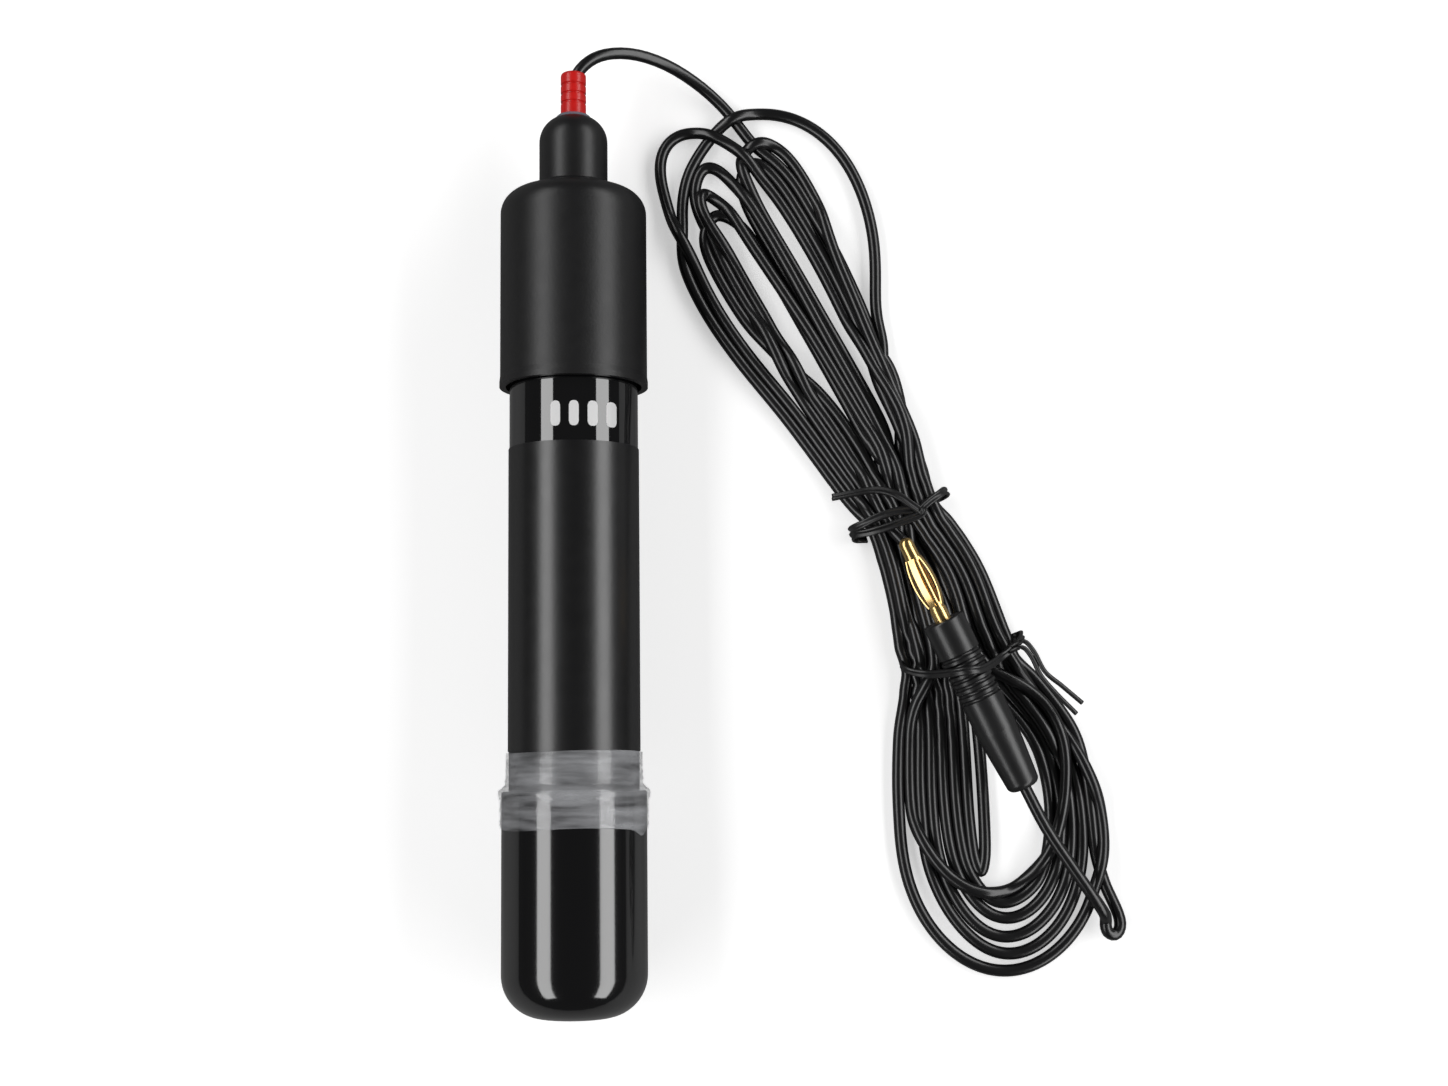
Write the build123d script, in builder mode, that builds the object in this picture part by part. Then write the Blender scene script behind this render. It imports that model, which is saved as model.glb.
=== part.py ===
from build123d import *
import math
import os

# Reference electrode that lies on its side, with its lead wound into a tied hank beside it.
# Millimetres. +Y runs along the electrode from the cap to the lead, +Z is up, z = 0 is the table.

os.makedirs("parts", exist_ok=True)

# Body tube
TUBE_DIAMETER = 26.7
TUBE_WALL = 2.9
TUBE_LENGTH = 145.0
TUBE_EDGE_CHAMFER = 0.5
SPIGOT_STEP = 0.20
LABEL_RECESS_DEPTH = 0.35

# Fits
FIT_CLEARANCE = 0.05
SLIDE_CLEARANCE = 0.10

# Label band
LABEL_THICKNESS = 0.15
LABEL_SHOWN_WIDTH = 13.0
LABEL_TUCKED_WIDTH = 6.0

# Head
HEAD_WALL = 1.7
RIM_STEP = 0.15
RIM_LENGTH = 2.2
HEAD_SOCKET_DEPTH = 34.1
HEAD_MOUTH_GAP = 0.6
HEAD_MOUTH_DEPTH = 7.0
HEAD_CORNER_LENGTH = 39.9
HEAD_CORNER_RADIUS = 5.0
SHOULDER_RISE = 2.8
NECK_DIAMETER = 14.2
NECK_LENGTH = 9.2
NECK_FILLET = 0.6
DOME_RADIUS = 5.75
DOME_LENGTH = 5.15
NECK_BORE_DIAMETER = 10.0
HEAD_CAVITY_STEP = 0.45
HEAD_CAVITY_DEPTH = 4.0
HEAD_CAVITY_CONE = 2.6
NECK_ROOF = 3.0

# Strain relief
RELIEF_DIAMETER = 5.3
RELIEF_SHOWN_LENGTH = 10.0
RELIEF_TAIL_LENGTH = 6.0
RELIEF_FLANGE_DIAMETER = 9.8
RELIEF_FLANGE_THICKNESS = 2.0
RELIEF_TOP_ROUNDING = 0.8
RELIEF_MOUTH_DIAMETER = 3.3
RELIEF_MOUTH_DEPTH = 3.0
RELIEF_GROOVES = 3
RELIEF_GROOVE_PITCH = 1.95
RELIEF_GROOVE_WIDTH = 0.6
RELIEF_GROOVE_DEPTH = 0.4
RELIEF_FIRST_GROOVE = 2.75
SEAL_BEAD_HEIGHT = 1.0
SEAL_BEAD_DIAMETER = 7.8
SEAL_BEAD_HOLLOW = 2.2

# Protective cap, sponge and film
CAP_WALL = 1.35
CAP_FLOOR = 2.0
CAP_CORNER_RADIUS = 8.5
CAP_GRIP = 28.6
CAP_EDGE_ROUNDING = 0.5
SPONGE_THICKNESS = 5.0
SPONGE_TO_JUNCTION = 6.0
FILM_THICKNESS = 0.3
FILM_ON_TUBE = 7.9
FILM_ON_CAP = 7.4
FILM_RIDGE_LENGTH = 2.0
FILM_SHOULDER = 0.5

# Junction in the tube's lower end
HOLDER_INSERT_LENGTH = 14.0
HOLDER_FLANGE_INSET = 0.35
HOLDER_FLANGE_THICKNESS = 2.0
JUNCTION_DIAMETER = 10.0
JUNCTION_PROUD = 1.0
JUNCTION_CHAMFER = 0.5
O_RING_SECTION = 1.4
O_RING_GROOVE_WIDTH = 1.8
O_RING_FIRST_GROOVE = 3.0
O_RING_SPACING = 5.0

# Half-cell
STOPPER_LENGTH = 12.0
STOPPER_DEPTH = 9.0
ELEMENT_DIAMETER = 8.0
ELEMENT_WALL = 1.0
ELEMENT_TO_JUNCTION = 9.0
FRIT_LENGTH = 4.0
ELEMENT_STOPPER_LENGTH = 7.0
WIRE_DIAMETER = 1.0
WIRE_TO_FRIT = 16.0
WIRE_PROUD = 6.0
COATING_DIAMETER = 1.8
COATING_LENGTH = 22.0

# Lead inside the head
LEAD_DIAMETER = 2.5
SLEEVE_DIAMETER = 3.6
SLEEVE_START = 1.5
SLEEVE_LENGTH = 11.5
SLEEVE_LEAD_GRIP = 3.0
LEAD_SOCKET_DEPTH = 4.0

# Sprung plug
PLUG_TAIL = Vector(91.4, -52.6, 9.5)
PLUG_HEADING = 115.6
PLUG_RISE = 6.0
HANDLE_LENGTH = 38.0
HANDLE_FRONT_DIAMETER = 8.8
HANDLE_FRONT_LENGTH = 7.2
HANDLE_RIBS = 7
RIB_PITCH = 1.55
RIB_DEPTH = 0.5
RIB_VALLEY_HALF_WIDTH = 0.56
HANDLE_BODY_DIAMETER = 8.7
HANDLE_BODY_LENGTH = 7.0
HANDLE_TAIL_DIAMETER = 6.7
HANDLE_TAIL_ROUNDING = 1.4
HANDLE_EDGE_ROUNDING = 0.5
HANDLE_CORD_SOCKET = 5.0
HANDLE_CORD_LEADOUT = 3.0
PIN_LENGTH = 18.5
PIN_CORE_DIAMETER = 2.5
PIN_COLLAR_DIAMETER = 3.5
PIN_COLLAR_LENGTH = 2.6
PIN_HEAD_DIAMETER = 3.1
PIN_HEAD_LENGTH = 4.0
PIN_SHANK_DIAMETER = 3.0
PIN_SHANK_LENGTH = 14.0
LEAF_COUNT = 4
LEAF_FIRST_ANGLE = 30.0
LEAF_WIDTH = 1.3
LEAF_THICKNESS = 0.22
LEAF_BULGE_DIAMETER = 4.9
SPRING_RING_LENGTH = 1.2
SPRING_RING_THICKNESS = 0.3

# Hank: plan outline of the tied loops, the eye of the lower loops and the height along Y
HANK_OUTLINE = [
    (38.7, 94.9),
    (56.0, 87.2),
    (64.8, 69.4),
    (65.9, 41.0),
    (75.5, 14.0),
    (88.9, -13.7),
    (105.0, -48.2),
    (110.0, -76.0),
    (104.4, -85.2),
    (86.8, -91.9),
    (71.0, -81.5),
    (64.3, -59.5),
    (68.0, -34.0),
    (64.3, -9.2),
    (52.3, 15.3),
    (28.9, 44.6),
    (16.9, 72.0),
    (19.5, 89.5),
]
HANK_HEIGHTS = [
    (100.0, 4.4),
    (60.0, 5.4),
    (14.0, 8.4),
    (-4.0, 8.2),
    (-26.0, 6.6),
    (-60.0, 5.4),
    (-96.0, 4.8),
]
HANK_EYE_CENTRE = (91.0, -63.5)
HANK_EYE_LENGTH = 22.0
HANK_EYE_WIDTH = 9.5
HANK_EYE_ANGLE = 100.0
HANK_REACH = 130.0

# Share of a run that the arc at its end may use
TURN_SHARE = 0.45

# Twist ties: a flat band round the bundle, with round wire ends
TIE_WIRE_DIAMETER = 1.0
TIE_BAND_WIDTH = 1.7
TIE_THICKNESS = 0.8
TIE_CORNER_RADIUS = 2.0
TIE_GAP = 0.15
UPPER_TIE_CENTRE = (68.2, 4.6)
UPPER_TIE_ANGLE = 25.0
UPPER_TIE_HALF_WIDTH = 8.2
UPPER_TIE_TOP_HALF_WIDTH = 6.0
UPPER_TIE_SIDE_HEIGHT = 6.6
UPPER_TIE_TOP = 8.6
LOWER_TIE_CENTRE = (79.5, -26.0)
LOWER_TIE_ANGLE = 11.0
LOWER_TIE_HALF_WIDTH = 12.4
LOWER_TIE_TOP_HALF_WIDTH = 3.0
LOWER_TIE_SIDE_HEIGHT = 5.2
LOWER_TIE_TOP = 17.6

# Stations along the electrode, measured from the cap's flat end
TIP = CAP_FLOOR + SPONGE_THICKNESS + SPONGE_TO_JUNCTION + JUNCTION_PROUD + HOLDER_FLANGE_THICKNESS
CAP_LENGTH = TIP + CAP_GRIP
HOLDER_TOP = TIP + HOLDER_INSERT_LENGTH
TUBE_TOP = TIP + TUBE_LENGTH
RIM = TUBE_TOP - HEAD_SOCKET_DEPTH
HEAD_CORNER = RIM + HEAD_CORNER_LENGTH
NECK_BASE = HEAD_CORNER + SHOULDER_RISE
NECK_TOP = NECK_BASE + NECK_LENGTH
DOME_TOP = NECK_TOP + DOME_LENGTH
RELIEF_TOP = DOME_TOP + RELIEF_SHOWN_LENGTH
LABEL_BOTTOM = RIM - LABEL_SHOWN_WIDTH
LABEL_TOP = RIM + LABEL_TUCKED_WIDTH
FILM_TOP = CAP_LENGTH + FILM_ON_TUBE
STOPPER_TOP = TUBE_TOP - STOPPER_DEPTH
STOPPER_BOTTOM = STOPPER_TOP - STOPPER_LENGTH
RELIEF_FLANGE_TOP = DOME_TOP - NECK_ROOF
RELIEF_BOTTOM = RELIEF_FLANGE_TOP - RELIEF_FLANGE_THICKNESS - RELIEF_TAIL_LENGTH
SLEEVE_BOTTOM = STOPPER_TOP + SLEEVE_START
SLEEVE_TOP = SLEEVE_BOTTOM + SLEEVE_LENGTH
LEAD_JOIN = RELIEF_TOP - LEAD_SOCKET_DEPTH

# Radii
TUBE_R = TUBE_DIAMETER / 2
TUBE_BORE_R = TUBE_R - TUBE_WALL
SPIGOT_R = TUBE_R - SPIGOT_STEP
LABEL_SEAT_R = TUBE_R - LABEL_RECESS_DEPTH
INSERT_R = TUBE_BORE_R - FIT_CLEARANCE
HEAD_SOCKET_R = TUBE_R + FIT_CLEARANCE
HEAD_MOUTH_R = TUBE_R + HEAD_MOUTH_GAP
HEAD_CAVITY_R = TUBE_BORE_R + HEAD_CAVITY_STEP
HEAD_R = HEAD_SOCKET_R + HEAD_WALL
RIM_R = HEAD_R + RIM_STEP
CAP_BORE_R = SPIGOT_R + SLIDE_CLEARANCE
CAP_R = CAP_BORE_R + CAP_WALL
HOLDER_FLANGE_R = TUBE_R - HOLDER_FLANGE_INSET
LEAD_R = LEAD_DIAMETER / 2
LEAD_BORE_R = LEAD_R + FIT_CLEARANCE
RELIEF_R = RELIEF_DIAMETER / 2
ELEMENT_R = ELEMENT_DIAMETER / 2
ELEMENT_BORE_R = ELEMENT_R - ELEMENT_WALL
WIRE_R = WIRE_DIAMETER / 2

# The electrode lies on its rim and on the film's ridge, so the axis is one rim radius up
AXIS_HEIGHT = RIM_R
START_Y = -RELIEF_TOP / 2
PROFILE_PLANE = Plane.XY.offset(AXIS_HEIGHT)
LONG_AXIS = Axis((0, 0, AXIS_HEIGHT), (0, 1, 0))


def at(station):
    """Y of a station that is measured from the cap's flat end."""
    return START_Y + station


def ring_profile(inner, outer, bottom, top):
    """Rectangle between two radii and two stations, in the sketch that is open."""
    with Locations(((inner + outer) / 2, at((bottom + top) / 2))):
        Rectangle(outer - inner, top - bottom)


def save(part, name):
    part.label = name
    export_step(part, "parts/" + name + ".step")


def simple_ring(name, inner, outer, bottom, top):
    """A plain turned ring or disc on the electrode's axis."""
    with BuildPart() as ring:
        with BuildSketch(PROFILE_PLANE):
            ring_profile(inner, outer, bottom, top)
        revolve(axis=LONG_AXIS)
    save(ring.part, name)


# Body tube: turned down under the cap and the film, with a shallow seat for the label band
with BuildPart() as body_tube:
    with BuildSketch(PROFILE_PLANE) as tube_profile:
        ring_profile(TUBE_BORE_R, SPIGOT_R, TIP, FILM_TOP)
        ring_profile(TUBE_BORE_R, TUBE_R, FILM_TOP, TUBE_TOP)
        with Locations((LABEL_SEAT_R + TUBE_R / 2, at((LABEL_BOTTOM + LABEL_TOP) / 2))):
            Rectangle(TUBE_R, LABEL_TOP - LABEL_BOTTOM, mode=Mode.SUBTRACT)
        tip_corner = tube_profile.vertices().group_by(Axis.Y)[0].sort_by(Axis.X)[-1]
        chamfer(tip_corner, TUBE_EDGE_CHAMFER)
    revolve(axis=LONG_AXIS)
save(body_tube.part, "body_tube")

# Label band: thin film in its seat, tucked under the head's mouth
simple_ring("label_band", LABEL_SEAT_R, LABEL_SEAT_R + LABEL_THICKNESS, LABEL_BOTTOM, LABEL_TOP)

# Head: socket on the tube, rounded shoulder, neck and domed end with a hole for the strain relief
NECK_R = NECK_DIAMETER / 2
DOME_END_R = NECK_R - DOME_RADIUS + math.sqrt(DOME_RADIUS**2 - DOME_LENGTH**2)
DOME_MID_ANGLE = math.asin(DOME_LENGTH / DOME_RADIUS) / 2
DOME_MID = (
    NECK_R - DOME_RADIUS + DOME_RADIUS * math.cos(DOME_MID_ANGLE),
    at(NECK_TOP + DOME_RADIUS * math.sin(DOME_MID_ANGLE)),
)
with BuildPart() as head_cap:
    with BuildSketch(PROFILE_PLANE) as head_profile:
        with BuildLine():
            Polyline(
                (0, at(RIM)),
                (RIM_R, at(RIM)),
                (RIM_R, at(RIM + RIM_LENGTH / 2)),
                (HEAD_R, at(RIM + RIM_LENGTH)),
                (HEAD_R, at(HEAD_CORNER)),
                (NECK_R, at(NECK_BASE)),
                (NECK_R, at(NECK_TOP)),
            )
            ThreePointArc((NECK_R, at(NECK_TOP)), DOME_MID, (DOME_END_R, at(DOME_TOP)))
            Polyline((DOME_END_R, at(DOME_TOP)), (0, at(DOME_TOP)), (0, at(RIM)))
        make_face()
        shoulder = head_profile.vertices().sort_by_distance((HEAD_R, at(HEAD_CORNER)))[0]
        fillet(shoulder, HEAD_CORNER_RADIUS)
        neck_foot = head_profile.vertices().sort_by_distance((NECK_R, at(NECK_BASE)))[0]
        fillet(neck_foot, NECK_FILLET)
    revolve(axis=LONG_AXIS)
    with BuildSketch(PROFILE_PLANE):
        cavity_top = TUBE_TOP + HEAD_CAVITY_DEPTH
        with BuildLine():
            Polyline(
                (0, at(RIM)),
                (HEAD_MOUTH_R, at(RIM)),
                (HEAD_MOUTH_R, at(RIM + HEAD_MOUTH_DEPTH)),
                (HEAD_SOCKET_R, at(RIM + HEAD_MOUTH_DEPTH)),
                (HEAD_SOCKET_R, at(TUBE_TOP)),
                (HEAD_CAVITY_R, at(TUBE_TOP)),
                (HEAD_CAVITY_R, at(cavity_top)),
                (NECK_BORE_DIAMETER / 2, at(cavity_top + HEAD_CAVITY_CONE)),
                (NECK_BORE_DIAMETER / 2, at(RELIEF_FLANGE_TOP)),
                (RELIEF_R + FIT_CLEARANCE, at(RELIEF_FLANGE_TOP)),
                (RELIEF_R + FIT_CLEARANCE, at(DOME_TOP)),
                (0, at(DOME_TOP)),
                (0, at(RIM)),
            )
        make_face()
    revolve(axis=LONG_AXIS, mode=Mode.SUBTRACT)
save(head_cap.part, "head_cap")

# Strain relief: flanged rubber sleeve with ring grooves and a flared mouth for the lead
with BuildPart() as strain_relief:
    with BuildSketch(PROFILE_PLANE) as relief_profile:
        ring_profile(LEAD_BORE_R, RELIEF_R, RELIEF_BOTTOM, RELIEF_TOP)
        flange_bottom = RELIEF_FLANGE_TOP - RELIEF_FLANGE_THICKNESS
        ring_profile(LEAD_BORE_R, RELIEF_FLANGE_DIAMETER / 2, flange_bottom, RELIEF_FLANGE_TOP)
        for index in range(RELIEF_GROOVES):
            groove = RELIEF_TOP - RELIEF_FIRST_GROOVE - index * RELIEF_GROOVE_PITCH
            with Locations((RELIEF_R, at(groove))):
                SlotOverall(2 * RELIEF_GROOVE_DEPTH, RELIEF_GROOVE_WIDTH, mode=Mode.SUBTRACT)
        with BuildLine():
            Polyline(
                (0, at(RELIEF_TOP)),
                (RELIEF_MOUTH_DIAMETER / 2, at(RELIEF_TOP)),
                (LEAD_BORE_R, at(RELIEF_TOP - RELIEF_MOUTH_DEPTH)),
                (0, at(RELIEF_TOP - RELIEF_MOUTH_DEPTH)),
                close=True,
            )
        make_face(mode=Mode.SUBTRACT)
        top_edge = relief_profile.vertices().group_by(Axis.Y)[-1].sort_by(Axis.X)[-1]
        fillet(top_edge, RELIEF_TOP_ROUNDING)
    revolve(axis=LONG_AXIS)
save(strain_relief.part, "strain_relief")

# Seal bead: ring of sealant that slopes from the neck's lip up to the strain relief
with BuildPart() as seal_bead:
    with BuildSketch(PROFILE_PLANE):
        bead_foot = (SEAL_BEAD_DIAMETER / 2, at(DOME_TOP))
        bead_head = (RELIEF_R + FIT_CLEARANCE, at(DOME_TOP + SEAL_BEAD_HEIGHT))
        bead_root = (RELIEF_R + FIT_CLEARANCE, at(DOME_TOP))
        with BuildLine():
            RadiusArc(bead_foot, bead_head, -SEAL_BEAD_HOLLOW)
            Polyline(bead_head, bead_root, bead_foot)
        make_face()
    revolve(axis=LONG_AXIS)
save(seal_bead.part, "seal_bead")

# Protective cap: a cup with a flat end and a large corner radius
with BuildPart() as protective_cap:
    with BuildSketch(PROFILE_PLANE) as cap_profile:
        ring_profile(0, CAP_R, 0, CAP_LENGTH)
        cap_corner = cap_profile.vertices().group_by(Axis.Y)[0].sort_by(Axis.X)[-1]
        fillet(cap_corner, CAP_CORNER_RADIUS)
        cap_edge = cap_profile.vertices().group_by(Axis.Y)[-1].sort_by(Axis.X)[-1]
        fillet(cap_edge, CAP_EDGE_ROUNDING)
    revolve(axis=LONG_AXIS)
    with BuildSketch(PROFILE_PLANE) as cap_bore:
        ring_profile(0, CAP_BORE_R, CAP_FLOOR, CAP_LENGTH)
        bore_corner = cap_bore.vertices().group_by(Axis.Y)[0].sort_by(Axis.X)[-1]
        fillet(bore_corner, CAP_CORNER_RADIUS - CAP_FLOOR)
    revolve(axis=LONG_AXIS, mode=Mode.SUBTRACT)
save(protective_cap.part, "protective_cap")

# Wetting sponge: disc in the cap's bottom, rounded to the cap's inner corner
with BuildPart() as wetting_sponge:
    with BuildSketch(PROFILE_PLANE) as sponge_profile:
        sponge_radius = CAP_BORE_R - SLIDE_CLEARANCE
        ring_profile(0, sponge_radius, CAP_FLOOR, CAP_FLOOR + CAP_CORNER_RADIUS)
        sponge_corner = sponge_profile.vertices().group_by(Axis.Y)[0].sort_by(Axis.X)[-1]
        fillet(sponge_corner, CAP_CORNER_RADIUS - CAP_FLOOR)
        with Locations((0, at(CAP_FLOOR + SPONGE_THICKNESS))):
            Rectangle(
                4 * CAP_R,
                CAP_CORNER_RADIUS,
                align=(Align.CENTER, Align.MIN),
                mode=Mode.SUBTRACT,
            )
    revolve(axis=LONG_AXIS)
save(wetting_sponge.part, "wetting_sponge")

# Sealing film: wound over cap and tube, with a ridge where it bridges the cap's mouth
FILM_CAP_INNER = CAP_R + FIT_CLEARANCE / 2
FILM_TUBE_INNER = SPIGOT_R + SLIDE_CLEARANCE
FILM_BOTTOM = CAP_LENGTH - FILM_ON_CAP
with BuildPart() as sealing_film:
    with BuildSketch(PROFILE_PLANE):
        ring_profile(FILM_CAP_INNER, FILM_CAP_INNER + FILM_THICKNESS, FILM_BOTTOM, CAP_LENGTH)
        ridge_bottom = CAP_LENGTH + FILM_THICKNESS - FILM_RIDGE_LENGTH
        with BuildLine():
            ridge_start = (FILM_CAP_INNER + FILM_THICKNESS / 2, at(ridge_bottom))
            ridge_middle = (RIM_R, at(ridge_bottom + FILM_RIDGE_LENGTH / 2))
            ridge_end = (FILM_CAP_INNER + FILM_THICKNESS / 2, at(CAP_LENGTH + FILM_THICKNESS))
            ThreePointArc(ridge_start, ridge_middle, ridge_end)
            Polyline(
                ridge_end,
                (FILM_TUBE_INNER + FILM_THICKNESS, at(CAP_LENGTH + FILM_THICKNESS + FILM_SHOULDER)),
                (FILM_TUBE_INNER + FILM_THICKNESS, at(FILM_TOP)),
                (FILM_TUBE_INNER, at(FILM_TOP)),
                (FILM_TUBE_INNER, at(CAP_LENGTH)),
                (FILM_CAP_INNER, at(CAP_LENGTH)),
                (FILM_CAP_INNER, at(ridge_bottom)),
                ridge_start,
            )
        make_face()
    revolve(axis=LONG_AXIS)
save(sealing_film.part, "sealing_film")

# Junction holder: flanged insert with two seal grooves and a bore for the porous plug
JUNCTION_R = JUNCTION_DIAMETER / 2
O_RING_R = O_RING_SECTION / 2
GROOVE_FLOOR_R = TUBE_BORE_R - O_RING_SECTION - FIT_CLEARANCE
O_RING_STATIONS = [
    TIP + O_RING_FIRST_GROOVE,
    TIP + O_RING_FIRST_GROOVE + O_RING_SPACING,
]
with BuildPart() as junction_holder:
    with BuildSketch(PROFILE_PLANE):
        hole = JUNCTION_R + FIT_CLEARANCE
        ring_profile(hole, INSERT_R, TIP, HOLDER_TOP)
        ring_profile(hole, HOLDER_FLANGE_R, TIP - HOLDER_FLANGE_THICKNESS, TIP)
        for station in O_RING_STATIONS:
            with Locations((GROOVE_FLOOR_R + TUBE_R / 2, at(station))):
                Rectangle(TUBE_R, O_RING_GROOVE_WIDTH, mode=Mode.SUBTRACT)
    revolve(axis=LONG_AXIS)
save(junction_holder.part, "junction_holder")

# Porous junction: the plug that the gel and the soil or water meet through
with BuildPart() as porous_junction:
    with BuildSketch(PROFILE_PLANE) as junction_profile:
        junction_bottom = TIP - HOLDER_FLANGE_THICKNESS - JUNCTION_PROUD
        ring_profile(0, JUNCTION_R, junction_bottom, HOLDER_TOP + JUNCTION_PROUD)
        chamfer(junction_profile.vertices().sort_by(Axis.X)[-2:], JUNCTION_CHAMFER)
    revolve(axis=LONG_AXIS)
save(porous_junction.part, "porous_junction")

# Seals of the holder
for name, station in zip(("junction_o_ring_lower", "junction_o_ring_upper"), O_RING_STATIONS):
    with BuildPart() as o_ring:
        with BuildSketch(PROFILE_PLANE):
            with Locations((GROOVE_FLOOR_R + O_RING_R + FIT_CLEARANCE / 2, at(station))):
                Circle(O_RING_R)
        revolve(axis=LONG_AXIS)
    save(o_ring.part, name)

# Stopper of the body tube, with the inner tube through it
ELEMENT_TOP = STOPPER_TOP
ELEMENT_BOTTOM = HOLDER_TOP + JUNCTION_PROUD + ELEMENT_TO_JUNCTION
simple_ring("tube_stopper", ELEMENT_R + FIT_CLEARANCE, INSERT_R, STOPPER_BOTTOM, STOPPER_TOP)

# Inner tube with its frit and its own stopper
simple_ring("element_tube", ELEMENT_BORE_R, ELEMENT_R, ELEMENT_BOTTOM, ELEMENT_TOP)
FRIT_TOP = ELEMENT_BOTTOM + FRIT_LENGTH
ELEMENT_INSERT_R = ELEMENT_BORE_R - FIT_CLEARANCE
simple_ring("element_frit", 0, ELEMENT_INSERT_R, ELEMENT_BOTTOM, FRIT_TOP)
INNER_STOPPER_BOTTOM = ELEMENT_TOP - ELEMENT_STOPPER_LENGTH
WIRE_HOLE_R = WIRE_R + FIT_CLEARANCE
simple_ring("element_stopper", WIRE_HOLE_R, ELEMENT_INSERT_R, INNER_STOPPER_BOTTOM, ELEMENT_TOP)

# Silver wire and the coated sleeve on its lower end
WIRE_TOP = ELEMENT_TOP + WIRE_PROUD
WIRE_BOTTOM = FRIT_TOP + WIRE_TO_FRIT
simple_ring("silver_wire", 0, WIRE_R, WIRE_BOTTOM, WIRE_TOP)
COATING_R = COATING_DIAMETER / 2
with BuildPart() as chloride_coating:
    with BuildSketch(PROFILE_PLANE) as coating_profile:
        coating_top = WIRE_BOTTOM + COATING_LENGTH
        ring_profile(0, COATING_R, WIRE_BOTTOM - WIRE_R, coating_top)
        fillet(coating_profile.vertices().group_by(Axis.Y)[0].sort_by(Axis.X)[-1], WIRE_R)
        with Locations((WIRE_HOLE_R / 2, at((WIRE_BOTTOM + coating_top) / 2))):
            Rectangle(WIRE_HOLE_R, coating_top - WIRE_BOTTOM, mode=Mode.SUBTRACT)
    revolve(axis=LONG_AXIS)
save(chloride_coating.part, "chloride_coating")

# Gel in the inner tube, round the wire and its coating
with BuildPart() as element_gel:
    with BuildSketch(PROFILE_PLANE):
        ring_profile(0, ELEMENT_INSERT_R, FRIT_TOP, INNER_STOPPER_BOTTOM)
        coating_hole = COATING_R + FIT_CLEARANCE
        coating_end = WIRE_BOTTOM - WIRE_R - FIT_CLEARANCE
        with Locations((coating_hole / 2, at((coating_end + coating_top) / 2))):
            Rectangle(coating_hole, coating_top - coating_end, mode=Mode.SUBTRACT)
        with Locations((WIRE_HOLE_R / 2, at((coating_top + INNER_STOPPER_BOTTOM) / 2))):
            Rectangle(WIRE_HOLE_R, INNER_STOPPER_BOTTOM - coating_top, mode=Mode.SUBTRACT)
    revolve(axis=LONG_AXIS)
save(element_gel.part, "element_gel")

# Gel that fills the body tube from the junction to the stopper
with BuildPart() as electrolyte_gel:
    with BuildSketch(PROFILE_PLANE):
        ring_profile(0, INSERT_R, HOLDER_TOP, STOPPER_BOTTOM)
        junction_hole = JUNCTION_R + FIT_CLEARANCE
        with Locations((junction_hole / 2, at(HOLDER_TOP + JUNCTION_PROUD / 2))):
            Rectangle(junction_hole, JUNCTION_PROUD, mode=Mode.SUBTRACT)
        element_hole = ELEMENT_R + FIT_CLEARANCE
        with Locations((element_hole / 2, at((ELEMENT_BOTTOM + STOPPER_BOTTOM) / 2))):
            Rectangle(element_hole, STOPPER_BOTTOM - ELEMENT_BOTTOM, mode=Mode.SUBTRACT)
    revolve(axis=LONG_AXIS)
save(electrolyte_gel.part, "electrolyte_gel")

# Solder sleeve: closed over the wire's top and the lead's lower end
SLEEVE_R = SLEEVE_DIAMETER / 2
LEAD_BOTTOM = SLEEVE_TOP - SLEEVE_LEAD_GRIP
with BuildPart() as solder_sleeve:
    with BuildSketch(PROFILE_PLANE):
        ring_profile(0, SLEEVE_R, SLEEVE_BOTTOM, SLEEVE_TOP)
        with Locations((WIRE_HOLE_R / 2, at((SLEEVE_BOTTOM + WIRE_TOP) / 2))):
            Rectangle(WIRE_HOLE_R, WIRE_TOP - SLEEVE_BOTTOM, mode=Mode.SUBTRACT)
        with Locations((LEAD_BORE_R / 2, at(SLEEVE_TOP - SLEEVE_LEAD_GRIP / 2))):
            Rectangle(LEAD_BORE_R, SLEEVE_LEAD_GRIP, mode=Mode.SUBTRACT)
    revolve(axis=LONG_AXIS)
save(solder_sleeve.part, "solder_sleeve")

# Lead inside the head, from the solder sleeve to the strain relief's mouth
simple_ring("inner_lead", 0, LEAD_R, LEAD_BOTTOM, LEAD_JOIN)

# Potting: resin above the stopper, in the head's cavity and round the lead
with BuildPart() as potting_compound:
    potting_head = HEAD_CAVITY_R - FIT_CLEARANCE
    potting_neck = NECK_BORE_DIAMETER / 2 - FIT_CLEARANCE
    with BuildSketch(PROFILE_PLANE):
        with BuildLine():
            Polyline(
                (WIRE_HOLE_R, at(STOPPER_TOP)),
                (INSERT_R, at(STOPPER_TOP)),
                (INSERT_R, at(TUBE_TOP)),
                (potting_head, at(TUBE_TOP)),
                (potting_head, at(cavity_top - FIT_CLEARANCE)),
                (potting_neck, at(cavity_top + HEAD_CAVITY_CONE - FIT_CLEARANCE)),
                (potting_neck, at(RELIEF_BOTTOM)),
                (LEAD_BORE_R, at(RELIEF_BOTTOM)),
                (LEAD_BORE_R, at(SLEEVE_TOP)),
                (SLEEVE_R + FIT_CLEARANCE, at(SLEEVE_TOP)),
                (SLEEVE_R + FIT_CLEARANCE, at(SLEEVE_BOTTOM)),
                (WIRE_HOLE_R, at(SLEEVE_BOTTOM)),
                close=True,
            )
        make_face()
    revolve(axis=LONG_AXIS)
save(potting_compound.part, "potting_compound")


def route_radii(points):
    """Radii of the arcs at a route's corners, from the shorter run at each."""
    radii = []
    for before, corner, after in zip(points, points[1:], points[2:]):
        run_in = corner - before
        run_out = after - corner
        half_turn = math.radians(run_in.get_angle(run_out)) / 2
        radii.append(TURN_SHARE * min(run_in.length, run_out.length) / math.tan(half_turn))
    return radii


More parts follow.
